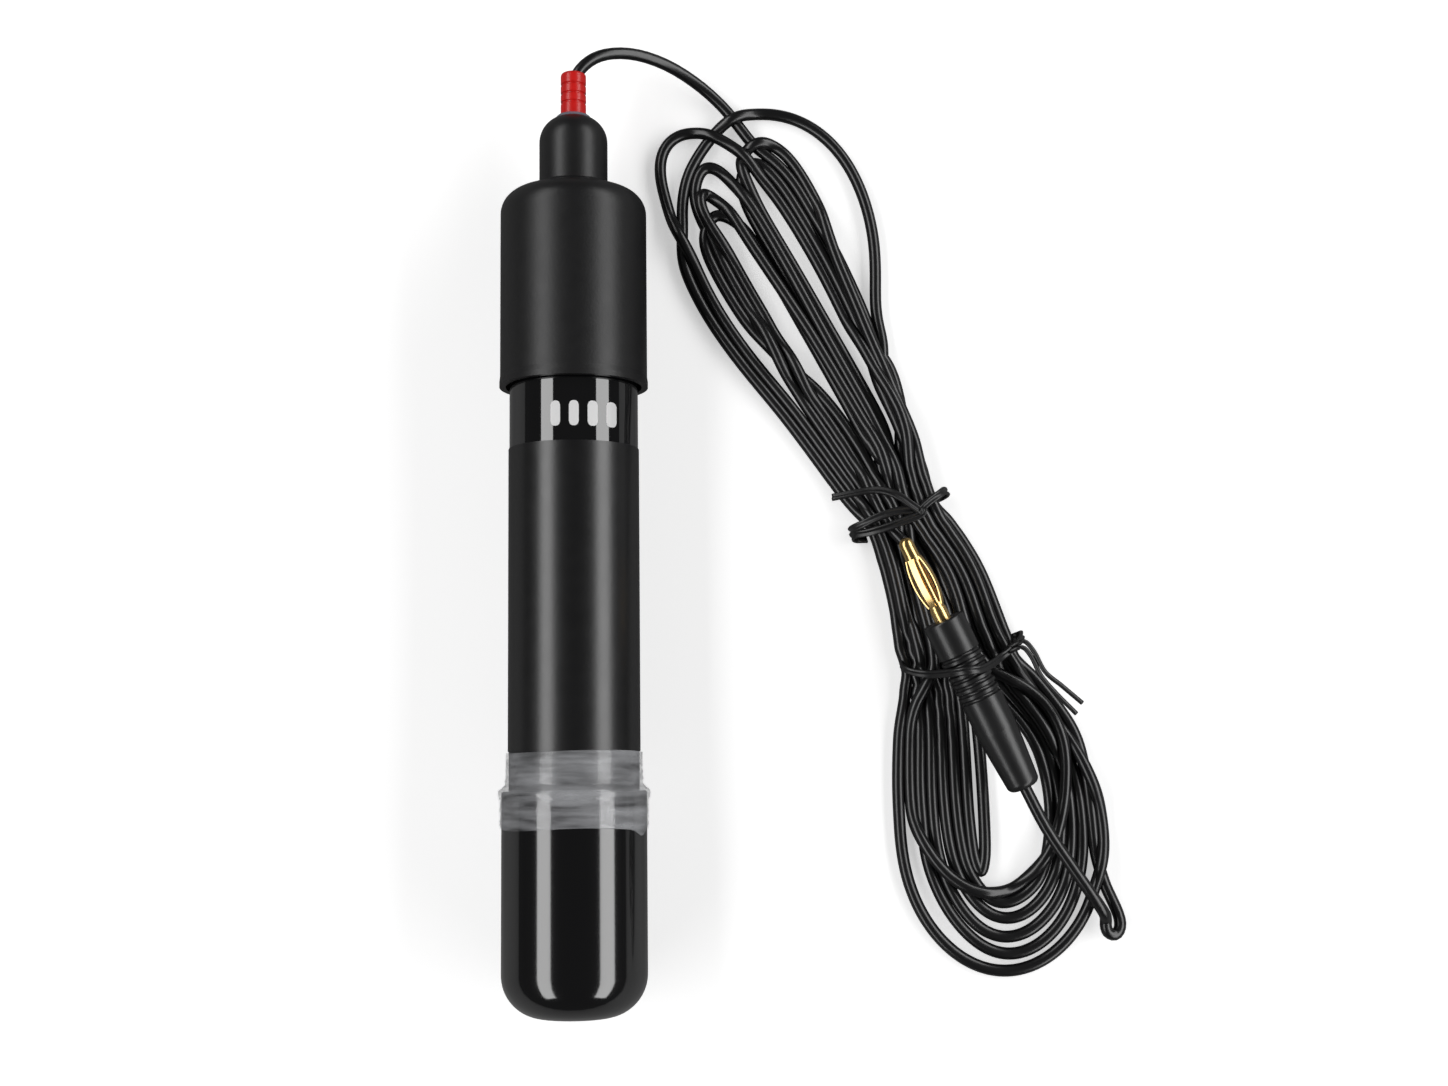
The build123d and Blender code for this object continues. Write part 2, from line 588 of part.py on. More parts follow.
def cord_tube(name, points):
    """Round cord along straight runs joined by tangent arcs."""
    route = [Vector(*point) for point in points]
    radii = route_radii(route)
    with BuildPart() as cord:
        with BuildLine() as path:
            FilletPolyline(*route, radius=radii)
        spine = path.wires()[0]
        with BuildSketch(Plane(origin=spine @ 0, z_dir=spine % 0)):
            Circle(LEAD_R)
        sweep(path=spine)
    expected = math.pi * LEAD_R**2 * spine.length
    print(name, "radii", [round(radius, 1) for radius in radii], "length", round(spine.length, 1))
    print(name, "volume over section times length", round(cord.part.volume / expected, 4))
    save(cord.part, name)


# Lead from the strain relief, up and over, then down to the table and into the hank
MOUTH_Y = at(RELIEF_TOP)
cord_tube(
    "lead_cord",
    [
        (0, at(LEAD_JOIN), AXIS_HEIGHT),
        (0, MOUTH_Y - 1.4, AXIS_HEIGHT),
        (1.7, MOUTH_Y + 1.5, 15.1),
        (4.7, MOUTH_Y + 4.1, 14.2),
        (8.8, MOUTH_Y + 5.6, 12.4),
        (14.0, MOUTH_Y + 6.1, 9.5),
        (20.2, MOUTH_Y + 4.9, 5.8),
        (26.2, MOUTH_Y + 1.7, 2.9),
        (30.8, MOUTH_Y - 2.2, 1.6),
        (33.6, MOUTH_Y - 5.6, 1.4),
    ],
)

# Plug frame: local y runs along the plug towards the pin's head, the origin is the handle's front face
plug_direction = Vector(
    math.cos(math.radians(PLUG_HEADING)) * math.cos(math.radians(PLUG_RISE)),
    math.sin(math.radians(PLUG_HEADING)) * math.cos(math.radians(PLUG_RISE)),
    math.sin(math.radians(PLUG_RISE)),
)
plug_side = Vector(math.sin(math.radians(PLUG_HEADING)), -math.cos(math.radians(PLUG_HEADING)), 0)
PLUG_FRONT = PLUG_TAIL + plug_direction * HANDLE_LENGTH
PLUG_PLANE = Plane(origin=PLUG_FRONT, x_dir=plug_side, z_dir=plug_side.cross(plug_direction))
PLUG_AXIS = Axis(PLUG_FRONT, plug_direction)

# Cord from the hank's outer edge back to the plug's tail
cord_entry = PLUG_TAIL + plug_direction * HANDLE_CORD_SOCKET
tail_clear = PLUG_TAIL - plug_direction * HANDLE_CORD_LEADOUT
cord_tube(
    "cord_tail",
    [
        (cord_entry.X, cord_entry.Y, cord_entry.Z),
        (tail_clear.X, tail_clear.Y, tail_clear.Z),
        (96.0, -61.6, 8.3),
        (100.6, -68.4, 7.6),
        (104.9, -74.6, 6.8),
        (107.7, -78.4, 5.2),
        (108.2, -79.6, 3.4),
    ],
)

# Plug handle: moulded grip with ribs, a taper and sockets for the pin and the cord
HANDLE_R = HANDLE_FRONT_DIAMETER / 2
HANDLE_BODY_R = HANDLE_BODY_DIAMETER / 2
RIBBED_LENGTH = HANDLE_RIBS * RIB_PITCH
BODY_START = -HANDLE_FRONT_LENGTH - RIBBED_LENGTH
PIN_SHANK_R = PIN_SHANK_DIAMETER / 2
with BuildPart() as plug_handle:
    with BuildSketch(PLUG_PLANE) as handle_profile:
        with BuildLine():
            Polyline(
                (0, 0),
                (HANDLE_R, 0),
                (HANDLE_R, -HANDLE_FRONT_LENGTH),
                (HANDLE_BODY_R, BODY_START),
                (HANDLE_BODY_R, BODY_START - HANDLE_BODY_LENGTH),
                (HANDLE_TAIL_DIAMETER / 2, -HANDLE_LENGTH),
                (0, -HANDLE_LENGTH),
                close=True,
            )
        make_face()
        front_edge = handle_profile.vertices().sort_by_distance((HANDLE_R, 0))[0]
        fillet(front_edge, HANDLE_EDGE_ROUNDING)
        tail_corner = (HANDLE_TAIL_DIAMETER / 2, -HANDLE_LENGTH)
        tail_edge = handle_profile.vertices().sort_by_distance(tail_corner)[0]
        fillet(tail_edge, HANDLE_TAIL_ROUNDING)
        for index in range(HANDLE_RIBS):
            valley = -HANDLE_FRONT_LENGTH - (index + 0.5) * RIB_PITCH
            with Locations((HANDLE_R + RIB_DEPTH, valley)):
                Ellipse(2 * RIB_DEPTH, RIB_VALLEY_HALF_WIDTH, mode=Mode.SUBTRACT)
        with Locations((0, -PIN_SHANK_LENGTH / 2)):
            Rectangle(2 * (PIN_SHANK_R + FIT_CLEARANCE), PIN_SHANK_LENGTH, mode=Mode.SUBTRACT)
        with Locations((0, HANDLE_CORD_SOCKET / 2 - HANDLE_LENGTH)):
            Rectangle(2 * LEAD_BORE_R, HANDLE_CORD_SOCKET, mode=Mode.SUBTRACT)
    revolve(axis=PLUG_AXIS)
save(plug_handle.part, "plug_handle")

# Plug pin: shank in the handle, collar, core for the springs and a rounded head
PIN_CORE_R = PIN_CORE_DIAMETER / 2
PIN_COLLAR_R = PIN_COLLAR_DIAMETER / 2
PIN_HEAD_R = PIN_HEAD_DIAMETER / 2
HEAD_START = PIN_LENGTH - PIN_HEAD_LENGTH
with BuildPart() as plug_pin:
    with BuildSketch(PLUG_PLANE):
        with BuildLine():
            Polyline(
                (0, PIN_LENGTH),
                (0, -PIN_SHANK_LENGTH),
                (PIN_SHANK_R, -PIN_SHANK_LENGTH),
                (PIN_SHANK_R, 0),
                (PIN_COLLAR_R, 0),
                (PIN_COLLAR_R, PIN_COLLAR_LENGTH),
                (PIN_CORE_R, PIN_COLLAR_LENGTH),
                (PIN_CORE_R, HEAD_START),
                (PIN_HEAD_R, HEAD_START),
                (PIN_HEAD_R, PIN_LENGTH - PIN_HEAD_R),
            )
            head_middle = PIN_HEAD_R * math.sqrt(0.5)
            ThreePointArc(
                (PIN_HEAD_R, PIN_LENGTH - PIN_HEAD_R),
                (head_middle, PIN_LENGTH - PIN_HEAD_R + head_middle),
                (0, PIN_LENGTH),
            )
        make_face()
    revolve(axis=PLUG_AXIS)
save(plug_pin.part, "plug_pin")

# Plug springs: two rings joined by bowed leaves, between the pin's collar and head
RING_INNER = PIN_CORE_R + FIT_CLEARANCE
RING_OUTER = RING_INNER + SPRING_RING_THICKNESS
LEAF_START = PIN_COLLAR_LENGTH + SPRING_RING_LENGTH / 2
LEAF_END = HEAD_START - SPRING_RING_LENGTH / 2
LEAF_PEAK = LEAF_BULGE_DIAMETER / 2
with BuildPart() as plug_springs:
    with BuildSketch(PLUG_PLANE):
        for ring_middle in (LEAF_START, LEAF_END):
            with Locations(((RING_INNER + RING_OUTER) / 2, ring_middle)):
                Rectangle(RING_OUTER - RING_INNER, SPRING_RING_LENGTH)
    revolve(axis=PLUG_AXIS)
    for index in range(LEAF_COUNT):
        turn = math.radians(360 * index / LEAF_COUNT + LEAF_FIRST_ANGLE)
        leaf_side = plug_side * math.cos(turn) + PLUG_PLANE.z_dir * math.sin(turn)
        leaf_plane = Plane(origin=PLUG_FRONT, x_dir=leaf_side, z_dir=leaf_side.cross(plug_direction))
        with BuildSketch(leaf_plane):
            leaf_middle = (LEAF_START + LEAF_END) / 2
            with BuildLine():
                ThreePointArc((RING_OUTER, LEAF_START), (LEAF_PEAK, leaf_middle), (RING_OUTER, LEAF_END))
                Line((RING_OUTER, LEAF_END), (RING_OUTER - LEAF_THICKNESS, LEAF_END))
                ThreePointArc(
                    (RING_OUTER - LEAF_THICKNESS, LEAF_END),
                    (LEAF_PEAK - LEAF_THICKNESS, leaf_middle),
                    (RING_OUTER - LEAF_THICKNESS, LEAF_START),
                )
                Line((RING_OUTER - LEAF_THICKNESS, LEAF_START), (RING_OUTER, LEAF_START))
            make_face()
        extrude(amount=LEAF_WIDTH / 2, both=True)
save(plug_springs.part, "plug_springs")


def tie_plane(centre, angle):
    """Plane that stands across the hank at a tie: local x runs across the bundle, local y is up."""
    across = Vector(math.cos(math.radians(angle)), math.sin(math.radians(angle)), 0)
    return Plane(origin=(centre[0], centre[1], 0), x_dir=across, z_dir=across.cross(Vector(0, 0, 1)))


def tie_block(plane, half_width, side_height, top_half_width, top, grow, width, mode=Mode.ADD):
    """Rounded block as wide as the tied bundle plus a growth on every side, in the part that is open."""
    with BuildSketch(plane) as section:
        with BuildLine():
            Polyline(
                (-half_width - grow, TIE_THICKNESS - grow),
                (-half_width - grow, side_height),
                (-top_half_width - grow / 2, top + grow),
                (top_half_width + grow / 2, top + grow),
                (half_width + grow, side_height),
                (half_width + grow, TIE_THICKNESS - grow),
                close=True,
            )
        make_face()
        fillet(section.vertices(), TIE_CORNER_RADIUS + grow)
    extrude(section.sketch, amount=width / 2, both=True, mode=mode)


def wire_end(points):
    """Short bent end of a tie's wire, in the part that is open."""
    route = [Vector(*point) for point in points]
    with BuildLine() as path:
        FilletPolyline(*route, radius=route_radii(route))
    spine = path.wires()[0]
    with BuildSketch(Plane(origin=spine @ 0, z_dir=spine % 0)) as section:
        Circle(TIE_WIRE_DIAMETER / 2)
    sweep(section.sketch, path=spine)


UPPER_TIE = (
    tie_plane(UPPER_TIE_CENTRE, UPPER_TIE_ANGLE),
    UPPER_TIE_HALF_WIDTH,
    UPPER_TIE_SIDE_HEIGHT,
    UPPER_TIE_TOP_HALF_WIDTH,
    UPPER_TIE_TOP,
)
LOWER_TIE = (
    tie_plane(LOWER_TIE_CENTRE, LOWER_TIE_ANGLE),
    LOWER_TIE_HALF_WIDTH,
    LOWER_TIE_SIDE_HEIGHT,
    LOWER_TIE_TOP_HALF_WIDTH,
    LOWER_TIE_TOP,
)

# Channels that the ties press into the bundle
with BuildPart() as tie_channels:
    for tie in (UPPER_TIE, LOWER_TIE):
        tie_block(*tie, TIE_THICKNESS + TIE_GAP, TIE_BAND_WIDTH + 2 * TIE_GAP)
    for tie in (UPPER_TIE, LOWER_TIE):
        tie_block(*tie, -TIE_GAP, TIE_BAND_WIDTH + 4 * TIE_GAP, mode=Mode.SUBTRACT)

# Hank: the loops' plan outline with their eye, as high as the bundle is along Y
with BuildPart() as cord_hank:
    with BuildSketch() as hank_plan:
        with BuildLine():
            Spline(*HANK_OUTLINE, periodic=True)
        make_face()
        with Locations(Location(HANK_EYE_CENTRE, HANK_EYE_ANGLE)):
            SlotOverall(HANK_EYE_LENGTH, HANK_EYE_WIDTH, mode=Mode.SUBTRACT)
    extrude(amount=UPPER_TIE_TOP + TIE_THICKNESS)
    with BuildSketch(Plane.YZ):
        hank_ends = [(HANK_HEIGHTS[-1][0], 0), (HANK_HEIGHTS[0][0], 0)]
        with BuildLine():
            Polyline(*HANK_HEIGHTS, *hank_ends, close=True)
        make_face()
    extrude(amount=HANK_REACH, mode=Mode.INTERSECT)
    add(tie_channels.part, mode=Mode.SUBTRACT)
save(cord_hank.part, "cord_hank")

# Upper tie: band round the hank's waist, with one single end and one folded end
UPPER_WIRE_HEIGHT = UPPER_TIE_TOP + TIE_THICKNESS
with BuildPart() as tie_upper:
    tie_block(*UPPER_TIE, TIE_THICKNESS, TIE_BAND_WIDTH)
    tie_block(*UPPER_TIE, 0, 2 * TIE_BAND_WIDTH, mode=Mode.SUBTRACT)
    wire_end(
        [
            (70.6, 5.6, UPPER_WIRE_HEIGHT),
            (68.0, 7.6, UPPER_WIRE_HEIGHT + 0.2),
            (64.4, 9.4, UPPER_WIRE_HEIGHT + 0.4),
            (60.2, 9.3, UPPER_WIRE_HEIGHT + 0.2),
            (56.6, 8.2, UPPER_WIRE_HEIGHT),
            (53.2, 7.8, UPPER_WIRE_HEIGHT - 0.3),
        ]
    )
    wire_end(
        [
            (70.4, 5.3, UPPER_WIRE_HEIGHT),
            (66.8, 3.7, UPPER_WIRE_HEIGHT + 0.3),
            (62.6, 2.7, UPPER_WIRE_HEIGHT + 0.2),
            (59.6, 1.5, UPPER_WIRE_HEIGHT),
            (57.0, 0.2, UPPER_WIRE_HEIGHT - 0.2),
        ]
    )
save(tie_upper.part, "tie_upper")

# Lower tie: band round the hank and over the plug's handle, with two free ends
with BuildPart() as tie_lower:
    tie_block(*LOWER_TIE, TIE_THICKNESS, TIE_BAND_WIDTH)
    tie_block(*LOWER_TIE, 0, 2 * TIE_BAND_WIDTH, mode=Mode.SUBTRACT)
    wire_end(
        [
            (90.0, -24.0, 8.6),
            (92.4, -26.3, 9.2),
            (95.4, -29.6, 9.0),
            (99.0, -33.0, 8.2),
            (103.2, -35.6, 7.4),
        ]
    )
    wire_end(
        [
            (89.8, -24.1, 8.8),
            (92.0, -27.0, 9.4),
            (94.6, -30.8, 9.2),
            (98.0, -34.6, 8.4),
            (101.8, -37.6, 7.6),
        ]
    )
save(tie_lower.part, "tie_lower")
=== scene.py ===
import math

import bpy
import numpy as np
from mathutils import Matrix, Vector


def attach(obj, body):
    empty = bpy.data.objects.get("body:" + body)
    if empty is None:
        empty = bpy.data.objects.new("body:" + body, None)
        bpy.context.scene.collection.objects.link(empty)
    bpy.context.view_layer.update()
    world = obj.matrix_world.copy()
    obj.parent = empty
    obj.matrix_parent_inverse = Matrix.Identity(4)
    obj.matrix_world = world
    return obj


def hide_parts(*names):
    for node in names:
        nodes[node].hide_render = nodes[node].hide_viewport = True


# Reference electrode with a tied hank of lead. Lengths are in millimetres where MM scales them, and
# otherwise in metres

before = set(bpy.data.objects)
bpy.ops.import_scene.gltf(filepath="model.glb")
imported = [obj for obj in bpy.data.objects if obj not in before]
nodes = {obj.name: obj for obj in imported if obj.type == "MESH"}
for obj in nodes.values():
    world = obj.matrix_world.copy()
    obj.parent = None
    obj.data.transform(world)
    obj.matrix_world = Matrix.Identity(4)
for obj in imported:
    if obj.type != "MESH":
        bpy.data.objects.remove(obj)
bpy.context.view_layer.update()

MM = 0.001
AXIS_HEIGHT = 15.25
CORD_DIAMETER = 2.5
CORD_RADIUS = CORD_DIAMETER / 2


# Camera: the photograph looks down on the electrode, slightly from its cap's side
CAMERA_PLACE = (30.585, -50.8, 420.25)
CAMERA_PITCH = math.radians(6.8)
CAMERA_ROLL = math.radians(-0.593)
CAMERA_FOCAL_PIXELS = 2000.0
PHOTO_WIDTH = 1448.0
SENSOR_WIDTH = 36.0


def make_camera():
    """Camera turned down by its pitch from straight down, and rolled about its own view."""
    forward = Vector((0, math.sin(CAMERA_PITCH), -math.cos(CAMERA_PITCH)))
    level_up = Vector((0, math.cos(CAMERA_PITCH), math.sin(CAMERA_PITCH)))
    level_right = Vector((1, 0, 0))
    right = math.cos(CAMERA_ROLL) * level_right + math.sin(CAMERA_ROLL) * level_up
    up = math.cos(CAMERA_ROLL) * level_up - math.sin(CAMERA_ROLL) * level_right
    data = bpy.data.cameras.new("camera")
    data.sensor_width = SENSOR_WIDTH
    data.lens = CAMERA_FOCAL_PIXELS * SENSOR_WIDTH / PHOTO_WIDTH
    data.clip_start = 0.01
    data.clip_end = 20
    camera = bpy.data.objects.new("camera", data)
    bpy.context.scene.collection.objects.link(camera)
    camera.matrix_world = Matrix.Translation(Vector(CAMERA_PLACE) * MM) @ Matrix(
        (right, up, -forward)
    ).transposed().to_4x4()
    bpy.context.scene.camera = camera


make_camera()


# Lead: the free run from the strain relief, with the points of the CAD route, in millimetres
LEAD_ROUTE = [
    (0.0, 92.975, 15.25),
    (0.0, 95.575, 15.25),
    (1.7, 98.475, 15.1),
    (4.7, 101.075, 14.2),
    (8.8, 102.575, 12.4),
    (14.0, 103.075, 9.5),
    (20.2, 101.875, 5.8),
    (26.2, 98.675, 2.9),
    (30.8, 94.775, 1.6),
    (33.6, 91.375, 1.4),
]

# Lead: the free run from the hank's lower end back to the plug, also as in the CAD
TAIL_ROUTE = [
    (108.2, -79.6, 3.4),
    (107.7, -78.4, 5.2),
    (104.9, -74.6, 6.8),
    (100.6, -68.4, 7.6),
    (96.0, -61.6, 8.3),
    (92.69, -55.29, 9.19),
    (89.25, -48.12, 10.02),
]

# Lead: the small fold at the hank's lower right, between its last run and the run to the plug
FOLD = [
    (111.1, -78.4, 1.4), (111.6, -81.2, 1.7), (110.4, -83.1, 2.1), (108.7, -82.6, 2.6),
    (108.1, -81.1, 3.0),
]

# Hank: each loop's plan points, in the order in which the lead runs through it
TOP_LOOPS = {
    "great": [
        (47, 22.5), (35.5, 37), (26, 51), (22, 64), (22.5, 75), (27, 85.5), (31.5, 91), (39.5, 93),
        (49.5, 90.5), (58.5, 81), (63.5, 65), (63.5, 44), (66.5, 29), (71.5, 16),
    ],
    "left": [
        (46.5, 26), (34, 42), (24, 60), (18, 76), (17, 83.5), (19.5, 88), (24, 89.5), (30.5, 87),
        (38, 80.5), (49, 64), (60, 43), (69, 23.5),
    ],
    "upper_hook": [
        (48, 29.5), (36, 50), (27, 68.5), (24.5, 77.5), (25, 82), (27.5, 82.5), (32, 79.5), (43, 61.5),
        (55.5, 37), (66.5, 16),
    ],
    "lower_hook": [
        (51, 28), (39.5, 47.5), (29, 66), (24.5, 73.5), (24.5, 76.5), (27, 76.5), (33.5, 69), (43, 54),
        (57.5, 30), (65, 16),
    ],
    "sunk": [
        (56.5, 24.5), (45, 36.5), (33.5, 51), (27, 64), (27, 69.5), (29.5, 72.5), (34, 69.5), (42, 57),
        (55.5, 32.5), (65.5, 14.5),
    ],
    "right": [
        (64, 24.5), (50, 51), (39, 70), (35, 79.5), (34.5, 84.5), (37.5, 87), (42, 86.5), (47, 81),
        (55, 61), (64.5, 35.5), (71.5, 17.5),
    ],
    "middle": [
        (61.5, 23.5), (48, 50), (38, 69.5), (34, 77.5), (34.5, 82.5), (37.5, 83.5), (41.5, 80.5),
        (49.5, 67), (60, 45), (70.5, 17),
    ],
}
BOTTOM_LOOPS = {
    "outer": [
        (101.5, -41), (105.7, -50.2), (107.9, -59.5), (108.2, -66.6), (106.5, -74.5), (102.5, -82),
        (97, -87.5), (90, -90.5), (84, -90.2), (77.5, -87), (71, -79.5), (67.2, -69.5), (66.3, -58),
        (66.8, -47), (68.2, -34.5),
    ],
    "second": [
        (100, -43), (103.5, -53), (104.3, -63.5), (103, -73.5), (98, -82.5), (89.5, -87.6), (82, -85),
        (75, -76), (71.3, -65.5), (70.6, -54), (71.2, -39),
    ],
    "third": [
        (98, -42), (101.5, -53), (102.2, -63.5), (100.7, -72.5), (96, -80), (89, -84.3), (82.3, -82),
        (76.3, -73.5), (73.6, -63.5), (73.1, -52), (73.3, -36),
    ],
    "fourth": [
        (96.5, -42), (100, -53), (100, -63.5), (98, -72.5), (93, -78.6), (87.5, -80.8), (82, -77.2),
        (78, -69), (75.9, -59), (75.5, -48), (75.2, -34),
    ],
    "fifth": [
        (94.5, -40), (98, -51), (98, -61.5), (96, -69.5), (91.8, -75.4), (87.4, -77.8), (83.4, -75),
        (80, -68), (78.3, -59), (77.8, -48), (77.4, -34),
    ],
    "inner": [
        (98, -35.5), (101, -48), (100, -57.5), (97.5, -66), (92.5, -72.6), (86.5, -75.4), (79.5, -73.4),
        (73, -67.5), (69.4, -59), (68.5, -49), (69.6, -35),
    ],
    "narrow": [
        (82.5, -34), (83.3, -43), (83.9, -55), (84, -65.5), (83.7, -72.4), (81.5, -72), (80.8, -64.5),
        (80.6, -55), (80, -40.5),
    ],
}
FIRST_RUN = [(35.5, 88), (40.5, 83), (47, 77), (53, 66), (60, 49.5), (68, 28)]
LAST_RUN = [(101.9, -39.9), (105.2, -50.2), (106.6, -59.5), (106.9, -66.6), (108, -71.5), (109.8, -75.5)]

# Turns in their order along the lead. Each is a bottom loop, with its first height and its lane on the
# left of the lower tie, and a top loop, with its first height and its lanes on the left and the right
# of the upper tie and on the right of the lower tie
TURNS = [
    ("narrow", 8.0, -1.8, "lower_hook", 19.6, -3.2, -0.2, 0.2),
    ("fifth", 10.4, -3.6, "middle", 6.6, -2.0, 2.6, 5.2),
    ("fourth", 8.0, -6.8, "sunk", 11.8, -1.0, 4.6, 8.0),
    ("second", 3.2, -9.6, "left", 17.0, -5.8, 3.4, 6.6),
    ("third", 5.6, -8.2, "upper_hook", 14.4, -4.4, 1.2, 3.8),
    ("inner", 16.0, -5.2, "right", 9.2, 0.2, 5.8, 9.4),
    ("outer", 12.8, -10.8, "great", 4.0, -6.9, 6.9, 10.8),
]
FIRST_LANES = (2.0, 1.8)
FIRST_HEIGHT = 3.5
TABLE_HEIGHT = 1.4

# Ties: centre and angle in plan, half width, height of the sides, and half width and height of the top
UPPER_TIE = {
    "centre": (68.2, 4.6), "angle": 25.0, "half": 8.2, "side": 6.6, "top_half": 6.0, "top": 8.6,
}
LOWER_TIE = {
    "centre": (79.5, -26.0), "angle": 11.0, "half": 12.4, "side": 5.2, "top_half": 3.0, "top": 17.6,
}
BETWEEN_TIES = {"centre": (74.9, -8.5), "angle": 15.0}
BETWEEN_SPREAD = 0.86
TIE_THICKNESS = 0.8

# Plug: front face of the handle, direction of the pin and the radii that the lead keeps clear of
PLUG_FRONT = Vector((75.07, -18.52, 13.47))
PLUG_DIRECTION = Vector((-0.4297, 0.8969, 0.1045))
HANDLE_LENGTH = 38.0
HANDLE_RADIUS = 4.4
PIN_LENGTH = 18.5
PIN_RADIUS = 2.45


def across(tie):
    """Direction across the bundle in plan, where a tie holds it."""
    angle = math.radians(tie["angle"])
    return Vector((math.cos(angle), math.sin(angle)))


def lane_point(tie, lane):
    """Plan point at a distance across the bundle, where a tie holds it."""
    return tuple(Vector(tie["centre"]) + lane * across(tie))


def down_run(upper_lane, lower_lane):
    """Plan points of one run of the bundle, from the upper tie to the lower one."""
    return [
        lane_point(UPPER_TIE, upper_lane),
        lane_point(BETWEEN_TIES, lower_lane * BETWEEN_SPREAD),
        lane_point(LOWER_TIE, lower_lane),
    ]


def at_height(plan, height):
    return [(x, y, height) for x, y in plan]


def hank_plan():
    """Plan points of the whole hank with a first height for each, from the lead's run to the tail."""
    points = at_height(FIRST_RUN, TABLE_HEIGHT)
    points += at_height(down_run(*FIRST_LANES), FIRST_HEIGHT)
    for bottom, low, lower_left, top, high, upper_left, upper_right, lower_right in TURNS:
        middle = (low + high) / 2
        points += at_height(BOTTOM_LOOPS[bottom], low)
        points += at_height(reversed(down_run(upper_left, lower_left)), middle)
        points += at_height(TOP_LOOPS[top], high)
        points += at_height(down_run(upper_right, lower_right), middle)
    points += at_height(LAST_RUN, TABLE_HEIGHT)
    return np.array(points, float)


# Share of a run between two points that one step of a smooth curve takes
CURVE_STEP = 0.04


def smooth_line(points, spacing):
    """Evenly spaced points on a smooth curve through the given ones."""
    ends = np.vstack([2 * points[0] - points[1], points, 2 * points[-1] - points[-2]])
    steps = np.arange(0, 1, CURVE_STEP)[:, None]
    dense = []
    for p0, p1, p2, p3 in zip(ends, ends[1:], ends[2:], ends[3:]):
        bend = -p0 + 3 * p1 - 3 * p2 + p3
        turn = 2 * p0 - 5 * p1 + 4 * p2 - p3
        dense.append(0.5 * (2 * p1 + (p2 - p0) * steps + turn * steps**2 + bend * steps**3))
    dense = np.vstack([*dense, points[-1:]])
    along = np.concatenate([[0], np.cumsum(np.linalg.norm(np.diff(dense, axis=0), axis=1))])
    count = int(round(along[-1] / spacing))
    wanted = np.linspace(0, along[-1], count + 1)
    return np.stack([np.interp(wanted, along, dense[:, k]) for k in range(3)], axis=1)


# Distance of the hank's points from each other, and the points at each of its ends that don't move
SPACING = 2.4
HELD_POINTS = 2

# Smoothing of the plan that the turns keep to
SMOOTH_ROUNDS = 8
SMOOTH_SHARE = 0.4

# Settling: how far and how firmly the turns move in each step
SETTLE_STEPS = 300
NEAR_STEPS = 10
NEAR_CONTACTS = 2.2
SAME_RUN_POINTS = 4
CONTACT = 2.56
SMALLEST_DISTANCE = 1e-6
PULL = 0.08
FALL = 0.10
STIFFNESS = 0.09
SIDEWAYS = 0.35
PLUG_STEP = 0.6
FLOOR_GAP = 0.02

# Ties' hold: full within half a reach of the tie's middle, none beyond one and a half
TIE_HOLD = 1.5
TIE_GRIP_REACH = 5.0
TIE_SHAPE_REACH = 2.5
TIE_ROOF_HOLD = 0.3
TIE_ROOF_SHARE = 0.5


def tie_lanes(points, tie, reach):
    """How strongly a tie holds each point, and each point's distance across the tie."""
    side = across(tie)
    offset = points[:, :2] - np.array(tie["centre"])
    lane = offset @ np.array(side)
    beyond = np.abs(offset @ np.array((-side.y, side.x)))
    return np.clip(TIE_HOLD - beyond / reach, 0, 1), lane


